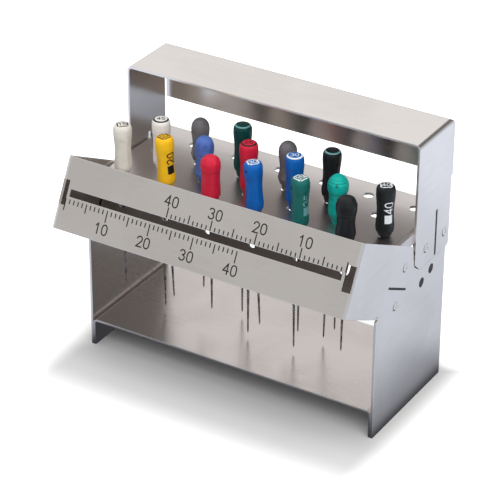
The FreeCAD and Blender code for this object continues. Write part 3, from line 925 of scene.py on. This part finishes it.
SMOOTH = Pattern(
    profile=((0.0, 1.07), (0.5, 1.2), (1.2, 1.4), (1.6, 1.5), (1.7, 1.7), (2.2, 1.8), (2.8, 1.85), (4.4, 1.74),
             (6.3, 1.68), (8.2, 1.8), (9.6, 1.92), (10.6, 1.91), (11.1, 1.82), (11.4, 1.67),
             (11.58, 1.5), (11.65, 1.34)),
    flutes=(Flutes(6, 0.12, 2.4, 9.0, 0.7),),
    grooves=(Groove(1.66, 0.05, 0.1), Groove(9.15, 0.05, 0.12)),
)
RIDGED = Pattern(
    profile=((0.0, 1.07), (0.8, 1.25), (0.95, 1.58), (1.5, 1.72), (2.3, 1.97), (3.1, 1.84), (4.7, 1.64),
             (6.0, 1.74), (7.0, 1.88), (8.0, 1.93), (8.9, 1.8), (9.5, 1.52), (9.9, 1.15), (10.15, 0.75)),
    flutes=(Flutes(24, 0.1, 6.3, 10.1, 0.4), Flutes(12, 0.08, 2.4, 6.4, 0.5)),
    grooves=(Groove(0.95, 0.1, 0.1), Groove(1.5, 0.14, 0.12), Groove(2.1, 0.12, 0.12), Groove(6.4, 0.1, 0.14)),
)
SCALLOPED = Pattern(
    profile=((0.0, 1.07), (0.8, 1.25), (0.95, 1.55), (1.5, 1.72), (2.3, 1.95), (3.2, 1.86), (4.8, 1.76),
             (6.2, 1.84), (7.2, 1.96), (8.0, 2.0), (8.9, 1.86), (9.5, 1.58), (9.9, 1.2), (10.15, 0.8)),
    flutes=(Flutes(7, 0.2, 6.6, 9.4, 1.0), Flutes(6, 0.12, 2.4, 6.2, 0.8)),
    grooves=(Groove(0.95, 0.12, 0.12), Groove(1.6, 0.14, 0.14), Groove(6.4, 0.12, 0.16)),
)
COLLARED = Pattern(
    profile=((0.0, 1.12), (0.6, 1.2), (0.8, 1.6), (1.45, 1.74), (1.6, 1.95), (2.8, 1.97), (5.0, 1.88), (7.05, 1.9),
             (7.3, 2.02), (8.3, 2.04), (9.1, 1.93), (9.6, 1.7), (9.95, 1.36), (10.15, 1.0)),
    flutes=(Flutes(10, 0.13, 8.9, 10.15, 0.4), Flutes(4, 0.06, 2.4, 6.9, 0.8)),
    grooves=(Groove(1.52, 0.14, 0.1), Groove(7.15, 0.08, 0.12)),
)
STOUT = Pattern(
    profile=((0.0, 1.12), (0.6, 1.2), (0.8, 1.62), (1.5, 1.88), (2.4, 2.02), (3.4, 1.92), (4.6, 1.78), (6.3, 1.92),
             (7.8, 2.12), (8.7, 2.1), (9.3, 1.92), (9.75, 1.62), (10.0, 1.3), (10.15, 1.0)),
    flutes=(Flutes(9, 0.16, 8.6, 10.15, 0.4), Flutes(6, 0.1, 2.4, 6.6, 0.8)),
    grooves=(Groove(1.5, 0.12, 0.12), Groove(6.7, 0.1, 0.14)),
)
BULBOUS = Pattern(
    profile=((0.0, 1.12), (0.7, 1.2), (0.85, 1.42), (1.5, 1.7), (2.3, 1.93), (3.8, 1.87), (5.2, 1.76),
             (6.45, 1.8), (6.8, 1.98), (7.6, 2.11), (8.4, 2.1), (9.1, 1.88), (9.65, 1.55),
             (10.05, 1.12), (10.25, 0.8)),
    flutes=(Flutes(6, 0.1, 2.4, 6.2, 0.8),),
    grooves=(Groove(1.0, 0.12, 0.12), Groove(1.7, 0.12, 0.13), Groove(6.6, 0.14, 0.12), Groove(9.05, 0.1, 0.1),
             Groove(9.6, 0.1, 0.09), Groove(10.0, 0.1, 0.07)),
)


@dataclass(frozen=True)
class SideMark:
    """Figures and a bar on the side of a handle, read upwards."""

    text: str
    ink: Ink
    turn: float
    low: float = 4.0
    tall: float = 1.7
    bar: float = 1.8


@dataclass(frozen=True)
class FileLook:
    """One file of the stand: where it stands, its colour, its shape and its marks."""

    row: int
    place: int
    colour: str
    pattern: Pattern
    lift: float = 0.0
    shaft: float = 25.0
    crown: Crown = Crown.BARE
    text: str = ""
    ink: Ink = Ink.DARK
    turn: float = 0.0
    side: SideMark | None = None
    dot: float | None = None
    dot_level: float = 8.6
    slide: float = 0.0
    lean: float = 0.0
    finish: str = ""


LONG = 32.4
FACING = -58.7
FILES: tuple[FileLook, ...] = (
    FileLook(1, 1, "beige", SMOOTH, 0.0, crown=Crown.SQUARE, text="15", turn=12.0, slide=0.34),
    FileLook(1, 2, "yellow", SMOOTH, -0.15, crown=Crown.SQUARE, text="20", turn=45.0,
             side=SideMark("20", Ink.DARK, 43.0), slide=0.6, lean=-3.0),
    FileLook(1, 3, "red", COLLARED, -0.05, slide=0.6, lean=-0.3),
    FileLook(1, 4, "blue", SMOOTH, -0.1, crown=Crown.SQUARE, text="30", ink=Ink.PALE, turn=14.0, dot=-48.0,
             dot_level=10.2, slide=0.54, lean=-2.9),
    FileLook(1, 5, "green", SMOOTH, -0.45, 23.7, Crown.SQUARE, "35", Ink.PALE, 45.0,
             side=SideMark("35", Ink.FAINT, 52.0), dot=-62.0, dot_level=9.8, slide=0.34),
    FileLook(1, 6, "black", STOUT, -0.25, dot=-16.0, dot_level=7.2, slide=0.2, lean=0.7),
    FileLook(2, 1, "white", SMOOTH, -0.2, LONG, Crown.RING, "45", slide=0.37, lean=-0.6),
    FileLook(2, 2, "periwinkle", SCALLOPED, -0.05, slide=0.14, lean=0.6),
    FileLook(2, 3, "red", SMOOTH, 0.2, LONG, Crown.RING, "25", turn=-4.0, slide=0.3),
    FileLook(2, 4, "blue", SMOOTH, 0.2, LONG, Crown.RING, "30", Ink.PALE, slide=0.6, lean=-0.55),
    FileLook(2, 5, "teal", BULBOUS, 0.0, dot=-10.0, dot_level=8.8),
    FileLook(2, 6, "black", SMOOTH, -0.55, LONG, Crown.SQUARE, "40", Ink.PALE, turn=4.0,
             side=SideMark("40", Ink.PALE, 22.0), slide=0.15),
    FileLook(3, 2, "grey", RIDGED, 0.1, slide=0.45),
    FileLook(3, 3, "green", SMOOTH, 0.05, LONG, Crown.RING, ink=Ink.FAINT, finish="dark_green", slide=0.2),
    FileLook(3, 4, "grey", RIDGED, 0.45, slide=0.42),
    FileLook(3, 5, "black", SMOOTH, -0.2, LONG, Crown.RING, ink=Ink.FAINT, slide=-0.06, lean=1.4),
)


@dataclass(frozen=True)
class FileMaker:
    """Builds the files on the plate's staggered holes."""

    plate_top: float = 39.5
    pitch: float = 10.35
    stagger: float = 2.6
    shift: float = 0.3
    last_row: float = 15.2
    row_pitch: float = 6.35
    rise: float = 0.1
    around: int = 72
    levels: int = 96
    shaft_around: int = 12
    shaft_levels: int = 220
    shaft_radius: float = 0.4
    tip_radius: float = 0.175
    flute_length: float = 16.0
    proud: float = 0.02
    dome_rise: float = 0.07

    def foot(self, look: FileLook) -> Matrix:
        """Returns the placement of a file's foot, in millimetres."""
        side = 1 if look.row % 2 == 0 else -1
        x = self.pitch * (look.place - 3.5) + self.stagger * side + self.shift + look.slide
        y = self.last_row - self.row_pitch * (4 - look.row)
        z = self.plate_top + (self.rise if look.lean else 0.0)
        return Matrix.Translation((x, y, z)) @ Matrix.Rotation(math.radians(look.lean), 4, "Y")

    def level(self, look: FileLook, height: float) -> float:
        """Returns a pattern height with the file's lift added above the neck."""
        share = min(1.0, height / look.pattern.neck)
        return height + look.lift * share

    def dome(self, share: float) -> float:
        """Returns the rise of the crown's dome at a share of its radius."""
        return self.dome_rise * (1 - share * share)

    def handle(self, look: FileLook, name: str, paints: Paints) -> None:
        """Builds a handle.

        Args:
            look: The file.
            name: The node that the handle stands for.
            paints: The materials.
        """
        foot = self.foot(look)
        pattern = look.pattern
        draft = MeshDraft()
        rings: list[list[Spot]] = []
        for step in range(self.levels + 1):
            height = pattern.top * (1 - (1 - step / self.levels) ** 1.25)
            ring: list[Spot] = []
            for index in range(self.around):
                angle = 2 * math.pi * index / self.around
                radius = pattern.skin(height, angle)
                spot = (radius * math.cos(angle), radius * math.sin(angle), self.level(look, height))
                ring.append(tuple(foot @ Vector(spot)))
            rings.append(ring)
        for share in (0.95, 0.85, 0.7, 0.5, 0.3, 0.1):
            level = self.level(look, pattern.top) + self.dome(share)
            circle = arc((0.0, 0.0), (pattern.crown * share, pattern.crown * share), 0, 360, self.around)[:-1]
            rings.append([tuple(foot @ Vector((*spot, level))) for spot in circle])
        draft.rings(rings)
        finish = PLASTICS[look.finish or look.colour]
        piece = draft.build(name + "_look", paints.get(finish), 50.0)
        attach(piece, BODY)
        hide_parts(name)
        log.info("%s: %d faces", piece.name, len(draft.faces))

    def shaft(self, look: FileLook, name: str, paints: Paints) -> None:
        """Builds a shaft: a round neck, then three cutting edges wound round a taper.

        Args:
            look: The file.
            name: The node that the shaft stands for.
            paints: The materials.
        """
        foot = self.foot(look)
        draft = MeshDraft()
        rings: list[list[Spot]] = []
        flutes_start = look.shaft - self.flute_length
        twist = 0.0
        before = 0.0
        for step in range(self.shaft_levels + 1):
            down = look.shaft * (1 - step / self.shaft_levels)
            along = max(0.0, (down - flutes_start) / self.flute_length)
            radius = self.shaft_radius + (self.tip_radius - self.shaft_radius) * along
            cut = 0.42 * min(1.0, along / 0.06)
            pitch = 1.5 + 1.0 * (1 - along)
            if step:
                twist += 2 * math.pi * (before - down) / pitch
            before = down
            point = 0.25 + 0.75 * min(1.0, (look.shaft - down) / 0.5)
            ring: list[Spot] = []
            for index in range(self.shaft_around):
                angle = 2 * math.pi * index / self.shaft_around
                edge = radius * point * (1 - cut * (0.5 - 0.5 * math.cos(3 * angle)))
                turned = angle + twist
                ring.append(tuple(foot @ Vector((edge * math.cos(turned), edge * math.sin(turned), -down))))
            rings.append(ring)
        draft.rings(rings)
        piece = draft.build(name + "_look", paints.get(SHAFT), 40.0)
        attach(piece, BODY)
        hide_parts(name)
        log.info("%s: %d faces", piece.name, len(draft.faces))

    def crown_place(self, look: FileLook) -> Placer:
        """Returns the placer of marks on a handle's crown, turned towards the front."""
        foot = self.foot(look)
        turn = math.radians(FACING + 90 + look.turn)
        pattern = look.pattern
        heights = np.linspace(pattern.top - 1.2, pattern.top, 60)
        radii = np.array([pattern.radius(float(height)) for height in heights])

        def place(right: float, away: float) -> Spot:
            """Returns the spot of a point on the crown."""
            x = right * math.cos(turn) - away * math.sin(turn)
            y = right * math.sin(turn) + away * math.cos(turn)
            reach = math.hypot(right, away)
            height = float(np.interp(-reach, -radii, heights))
            lift = self.dome(min(1.0, reach / pattern.crown))
            z = self.level(look, height) + lift + self.proud
            return tuple(foot @ Vector((x, y, z)))
        return place

    def side_place(self, look: FileLook, turn: float, middle: float) -> Placer:
        """Returns the placer of marks on a handle's side, read upwards from a height."""
        foot = self.foot(look)
        facing = math.radians(FACING + turn)
        pattern = look.pattern

        def place(along: float, up: float) -> Spot:
            """Returns the spot of a point of the mark."""
            height = middle + along
            radius = pattern.radius(height)
            angle = facing - up / radius
            reach = pattern.skin(height, angle) + self.proud * 2
            spot = (reach * math.cos(angle), reach * math.sin(angle), self.level(look, height))
            return tuple(foot @ Vector(spot))
        return place

    def marks(self, look: FileLook, name: str, paints: Paints) -> None:
        """Builds the print on a handle.

        Args:
            look: The file.
            name: The handle's node.
            paints: The materials.
        """
        drafts: dict[Ink, MeshDraft] = {}
        crown = self.crown_place(look)
        top = drafts.setdefault(look.ink, MeshDraft())
        if look.crown is Crown.SQUARE:
            half = 1.04
            corners = [(-half, -half), (half, -half), (half, half), (-half, half)]
            outline: list[Point] = []
            for index, start in enumerate(corners):
                end = corners[(index + 1) % 4]
                outline += [tuple(Vector(start).lerp(Vector(end), step / 8)) for step in range(8)]
            ribbon(top, outline, 0.28, crown, closed=True)
        if look.crown is Crown.RING:
            for radius in (1.39, 1.53):
                ribbon(top, arc((0.0, 0.0), (radius, radius), 0, 360, 72)[:-1], 0.17, crown, closed=True)
        if look.text:
            StrokeDigits.draw(top, look.text, 1.1, 0.17, crown)
        if look.side is not None:
            mark = look.side
            draft = drafts.setdefault(mark.ink, MeshDraft())
            middle = mark.low + mark.bar + 1.6
            StrokeDigits.draw(draft, mark.text, mark.tall, 0.25, self.side_place(look, mark.turn, middle))
            place = self.side_place(look, mark.turn, mark.low + mark.bar / 2)
            for step in range(4):
                up = (step / 4 - 0.5) * mark.tall
                bar = [(-mark.bar / 2, up), (mark.bar / 2, up),
                       (mark.bar / 2, up + mark.tall / 4), (-mark.bar / 2, up + mark.tall / 4)]
                draft.patch([place(*corner) for corner in bar])
        if look.dot is not None:
            draft = drafts.setdefault(Ink.DARK, MeshDraft())
            place = self.side_place(look, look.dot, look.dot_level)
            draft.patch([place(*spot) for spot in arc((0.0, 0.0), (0.27, 0.27), 0, 360, 16)[:-1]])
        for ink, draft in drafts.items():
            if not draft.faces:
                continue
            piece = draft.build("{}_{}_marks".format(name, ink.name.lower()), paints.ink(ink))
            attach(piece, BODY)
            log.info("%s: %d faces", piece.name, len(draft.faces))

    def build(self, paints: Paints) -> None:
        """Builds every file.

        Args:
            paints: The materials.
        """
        for look in FILES:
            name = "file_row{}_{}_{}".format(look.row, look.place, look.colour)
            self.handle(look, name + "_handle", paints)
            self.shaft(look, name + "_shaft", paints)
            self.marks(look, name + "_handle", paints)


# ---------------------------------------------------------------- sheet metal


@dataclass(frozen=True)
class FoldedSheets:
    """The five folded sheets, kept as packed and given their steel, with painted shade in their slits, holes and
    dimple rims.
    """

    satin: tuple[str, ...] = ("hoop", "ruler_body")
    perforated: tuple[str, ...] = ("file_plate",)
    bright: tuple[str, ...] = ("base_shelf",)
    # The guide sheet inside takes the darker steel, which is painted shade.
    inside: tuple[str, ...] = ("guide_sheet",)
    half: float = 33.7
    back: float = 20.2
    front: float = -21.6
    low: float = 34.3
    tilt: float = 27.55

    def dress(self, paints: Paints) -> None:
        """Gives each sheet its finish.

        Args:
            paints: The materials.
        """
        for names, finish in ((self.satin, SHEET), (self.perforated, PLATE), (self.bright, SHELF),
                              (self.inside, INNER_PAINTED_SHADE)):
            for name in names:
                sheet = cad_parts[name]
                for slot in sheet.material_slots:
                    slot.material = paints.get(finish)
                log.info("%s: %s", name, finish.name)

    def on_wing(self, behind: float, up: float) -> Point:
        """Returns Y and Z of a point behind the panel, square to it, and up its slope."""
        lean = math.radians(self.tilt)
        y = self.front + behind * math.cos(lean) + up * math.sin(lean)
        return y, self.low - behind * math.sin(lean) + up * math.cos(lean)

    def shade(self, draft: MeshDraft, side: int, sink: float, outline: list[Point]) -> None:
        """Adds a patch of painted shade just inside the outer face of one side.

        Args:
            draft: The mesh.
            side: 1 for the right side, -1 for the left one.
            sink: How far it lies under the face.
            outline: Its corners as Y and Z, counter-clockwise from the right.
        """
        spots = [(side * (self.half - sink), y, z) for y, z in outline]
        draft.patch(spots if side > 0 else spots[::-1])

    def shades(self, paints: Paints) -> None:
        """Builds the painted shade of the slits, the wall holes and the rims of the weld dimples.

        The left leg's slit has none, because light shows through it from the front.

        Args:
            paints: The materials.
        """
        draft = MeshDraft()
        slit = [self.on_wing(*spot) for spot in ((16.5, 6.05), (24.7, 6.05), (24.7, 6.55), (16.5, 6.55))]
        dimples = [(self.back - 1.1, 33.8), (self.back - 8.9, 33.8),
                   self.on_wing(21.9, 2.8), self.on_wing(21.9, 10.6)]
        for side, leg_slit in ((1, self.back - 4.9), (-1, self.back - 6.4)):
            self.shade(draft, side, 0.03, slit)
            near, far = leg_slit - 0.375, leg_slit + 0.375
            if side > 0:
                self.shade(draft, side, 0.03, [(near, 30.4), (far, 30.4), (far, 40.6), (near, 40.6)])
            for centre in ((self.back - 10.2, 26.6), (self.back - 6.3, 27.9)):
                self.shade(draft, side, 0.1, arc(centre, (1.04, 1.04), 0, 360, 28)[:-1])
            for centre in dimples:
                outer = arc(centre, (0.98, 0.98), 100, 260, 14)
                inner = arc((centre[0] + 0.16, centre[1]), (0.84, 0.9), 260, 100, 14)
                for index in range(14):
                    corners = [outer[index], outer[index + 1], inner[13 - index], inner[14 - index]]
                    self.shade(draft, side, 0.05, corners)
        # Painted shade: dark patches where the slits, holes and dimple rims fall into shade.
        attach(draft.build("slit_and_hole_shades", paints.ink(Ink.SHADE)), BODY)
        log.info("slit and hole shades: %d faces", len(draft.faces))


# ---------------------------------------------------------------- studio


@dataclass(frozen=True)
class Studio:
    """Pale floor, plain soft light and the camera at the photograph's place."""

    eye: Spot = (210.83, -346.90, 262.19)
    yaw: float = -0.546202
    pitch: float = -0.522068
    roll: float = 0.005473
    lens: float = 167.61
    floor_half: float = 4000.0
    floor_drop: float = 0.02
    sky: float = 0.78
    key_place: Spot = (240.0, -300.0, 620.0)
    key_size: float = 700.0
    key_power: float = 3.8
    dark_screen: Spot = (0.5, 0.74, 0.45)

    def camera(self) -> None:
        """Builds the camera."""
        forward = Vector((math.sin(self.yaw) * math.cos(self.pitch), math.cos(self.yaw) * math.cos(self.pitch),
                          math.sin(self.pitch)))
        right = Vector((math.cos(self.yaw), -math.sin(self.yaw), 0.0))
        up = right.cross(forward)
        across = right * math.cos(self.roll) + up * math.sin(self.roll)
        upward = up * math.cos(self.roll) - right * math.sin(self.roll)
        data = bpy.data.cameras.new("camera")
        data.lens = self.lens
        data.sensor_width = 36.0
        data.clip_start = 0.01
        camera = bpy.data.objects.new("camera", data)
        turn = Matrix((across, upward, -forward)).transposed().to_4x4()
        camera.matrix_world = Matrix.Translation(Vector(self.eye) * MM) @ turn
        bpy.context.scene.collection.objects.link(camera)
        bpy.context.scene.camera = camera
        log.info("camera: %.1f mm lens", self.lens)

    def floor(self) -> None:
        """Builds the pale floor: white to the camera and shaded by the stand, with painted shadow where its glow
        fades near it, and in reflections a glow with painted shadow, darker near it.
        """
        draft = MeshDraft()
        half = self.floor_half
        drop = -self.floor_drop
        draft.patch([(-half, -half, drop), (half, -half, drop), (half, half, drop), (-half, half, drop)])
        material = bpy.data.materials.new("pale_floor")
        material.use_nodes = True
        material.node_tree.nodes.clear()
        nodes = Nodes(material.node_tree)
        path = nodes.add("ShaderNodeLightPath")
        mirrored = path.outputs["Is Glossy Ray"]
        seen = path.outputs["Is Camera Ray"]
        white, mirror = self.floor_levels(nodes)
        paint = nodes.add("ShaderNodeBsdfDiffuse")
        # In reflections the floor is not lit but only glows, a painted reflection of a floor with shadow.
        nodes.join(nodes.mix(mirrored, (0.62, 0.62, 0.62), (0.0, 0.0, 0.0)), paint.inputs["Color"])
        glow = nodes.add("ShaderNodeEmission")
        nodes.join(nodes.mix(mirrored, (1.0, 1.0, 1.0), (0.98, 1.06, 1.22)), glow.inputs["Color"])
        level = nodes.math("ADD", nodes.math("MULTIPLY", seen, white), nodes.math("MULTIPLY", mirrored, mirror))
        nodes.join(level, glow.inputs["Strength"])
        both = nodes.add("ShaderNodeAddShader")
        output = nodes.add("ShaderNodeOutputMaterial")
        nodes.join(paint.outputs["BSDF"], both.inputs[0])
        nodes.join(glow.outputs["Emission"], both.inputs[1])
        nodes.join(both.outputs["Shader"], output.inputs["Surface"])
        draft.build("floor", material)
        log.info("floor")

    def floor_levels(self, nodes: Nodes) -> tuple[bpy.types.NodeSocket, bpy.types.NodeSocket]:
        """Works out the floor's glow over the distance from the stand in metres, with painted shadow near the
        stand.

        Args:
            nodes: The floor's nodes.

        Returns:
            The glow that the camera sees, lower near the stand as painted shadow, and the glow that the steel
            mirrors, with painted shadow near the stand, behind it and far to its right.
        """
        away = self.from_footprint(nodes)
        spot = nodes.add("ShaderNodeSeparateXYZ")
        nodes.join(nodes.add("ShaderNodeNewGeometry").outputs["Position"], spot.inputs["Vector"])
        across, deep = spot.outputs["X"], spot.outputs["Y"]
        beside = nodes.math("SUBTRACT", nodes.math("ABSOLUTE", across), 0.0337)
        rear = nodes.math("SUBTRACT", deep, 0.0202)
        outer = nodes.math("MAXIMUM", nodes.math("MULTIPLY", beside, 0.6), rear)
        # Painted shadow: the camera's glow fades near the stand.
        white = nodes.total(nodes.share(away, 0.009, 0.02, 0.45), nodes.share(away, 0.0, 0.01, 0.12),
                            nodes.share(outer, 0.0, 0.004, 0.55))
        # Painted shadow in reflections: the mirrored glow is darker near the stand, behind it and far to its
        # right.
        near = nodes.total(nodes.share(away, 0.0, 0.018, 0.4), nodes.share(beside, 0.0, 0.003, 0.2))
        mirrored_glow = nodes.math("ADD", nodes.total(near, nodes.share(away, 0.04, 0.1, 0.2)), 0.06)
        behind = nodes.math("MULTIPLY", nodes.ramp(deep, 0.02, 0.05),
                            nodes.math("SUBTRACT", 1.0, nodes.ramp(across, 0.015, 0.055)))
        shade = nodes.math("SUBTRACT", 1.0, nodes.math("MULTIPLY", behind, 0.6))
        right = nodes.math("SUBTRACT", 1.0, nodes.share(across, 0.09, 0.17, 0.4))
        return white, nodes.math("MULTIPLY", nodes.math("MULTIPLY", mirrored_glow, shade), right)

    def from_footprint(self, nodes: Nodes) -> bpy.types.NodeSocket:
        """Returns the distance of a floor point from the rectangle that the stand covers, in metres."""
        parts = nodes.add("ShaderNodeSeparateXYZ")
        nodes.join(nodes.add("ShaderNodeNewGeometry").outputs["Position"], parts.inputs["Vector"])
        squares = []
        for axis, middle, half in (("X", 0.0, 0.0337), ("Y", 0.0056, 0.0146)):
            across = nodes.math("ABSOLUTE", nodes.math("SUBTRACT", parts.outputs[axis], middle))
            past = nodes.math("MAXIMUM", nodes.math("SUBTRACT", across, half), 0.0)
            squares.append(nodes.math("MULTIPLY", past, past))
        return nodes.math("SQRT", nodes.math("ADD", squares[0], squares[1]))

    def sky_light(self) -> None:
        """Builds the surroundings: white to the camera, an even light, and soft bands in reflections."""
        world = bpy.data.worlds.new("studio")
        bpy.context.scene.world = world
        world.use_nodes = True
        world.node_tree.nodes.clear()
        nodes = Nodes(world.node_tree)
        path = nodes.add("ShaderNodeLightPath")
        direction = nodes.add("ShaderNodeTexCoord").outputs["Generated"]
        parts = nodes.add("ShaderNodeSeparateXYZ")
        nodes.join(direction, parts.inputs["Vector"])
        back = nodes.ramp(parts.outputs["Y"], -1.0, 0.55)
        high = nodes.ramp(parts.outputs["Z"], -0.1, 0.95)
        glow = nodes.math("ADD", nodes.math("MULTIPLY", back, 0.42), nodes.math("MULTIPLY", high, 0.08))
        screen = nodes.add("ShaderNodeVectorMath", operation="DOT_PRODUCT")
        nodes.join(direction, screen.inputs[0])
        screen.inputs[1].default_value = self.dark_screen
        dark = nodes.math("MULTIPLY", nodes.ramp(screen.outputs["Value"], 0.86, 0.97), 0.82)
        mirror = nodes.math("MULTIPLY", nodes.math("ADD", glow, 0.6), nodes.math("SUBTRACT", 1.0, dark))
        seen = nodes.math("MAXIMUM", path.outputs["Is Glossy Ray"], path.outputs["Is Transmission Ray"])
        even = nodes.math("MULTIPLY", nodes.math("SUBTRACT", 1.0, seen), self.sky)
        level = nodes.math("ADD", even, nodes.math("MULTIPLY", seen, mirror))
        rest = nodes.math("MULTIPLY", level, nodes.math("SUBTRACT", 1.0, path.outputs["Is Camera Ray"]))
        strength = nodes.math("ADD", rest, path.outputs["Is Camera Ray"])
        light = nodes.add("ShaderNodeBackground")
        output = nodes.add("ShaderNodeOutputWorld")
        nodes.join(strength, light.inputs["Strength"])
        nodes.join(light.outputs["Background"], output.inputs["Surface"])
        log.info("surroundings")

    def key(self) -> None:
        """Builds the broad lamp above the stand, to its front right."""
        data = bpy.data.lights.new("key", "AREA")
        data.shape = "SQUARE"
        data.size = self.key_size * MM
        data.energy = self.key_power
        lamp = bpy.data.objects.new("key", data)
        place = Vector(self.key_place) * MM
        lamp.visible_glossy = False
        lamp.matrix_world = Matrix.Translation(place) @ place.to_track_quat("Z", "Y").to_matrix().to_4x4()
        bpy.context.scene.collection.objects.link(lamp)
        log.info("key lamp: %.1f W", self.key_power)

    def build(self) -> None:
        """Builds the camera, the floor and the lights."""
        bpy.context.scene.view_settings.view_transform = "Standard"
        self.camera()
        self.floor()
        self.sky_light()
        self.key()


def main() -> None:
    """Dresses the stand in order: studio, sheets, ruler scale, files."""
    logging.basicConfig(level=logging.INFO)
    paints = Paints()
    Studio().build()
    sheets = FoldedSheets()
    sheets.dress(paints)
    sheets.shades(paints)
    RulerScale().build(paints)
    FileMaker().build(paints)


if __name__ == "__main__":
    main()
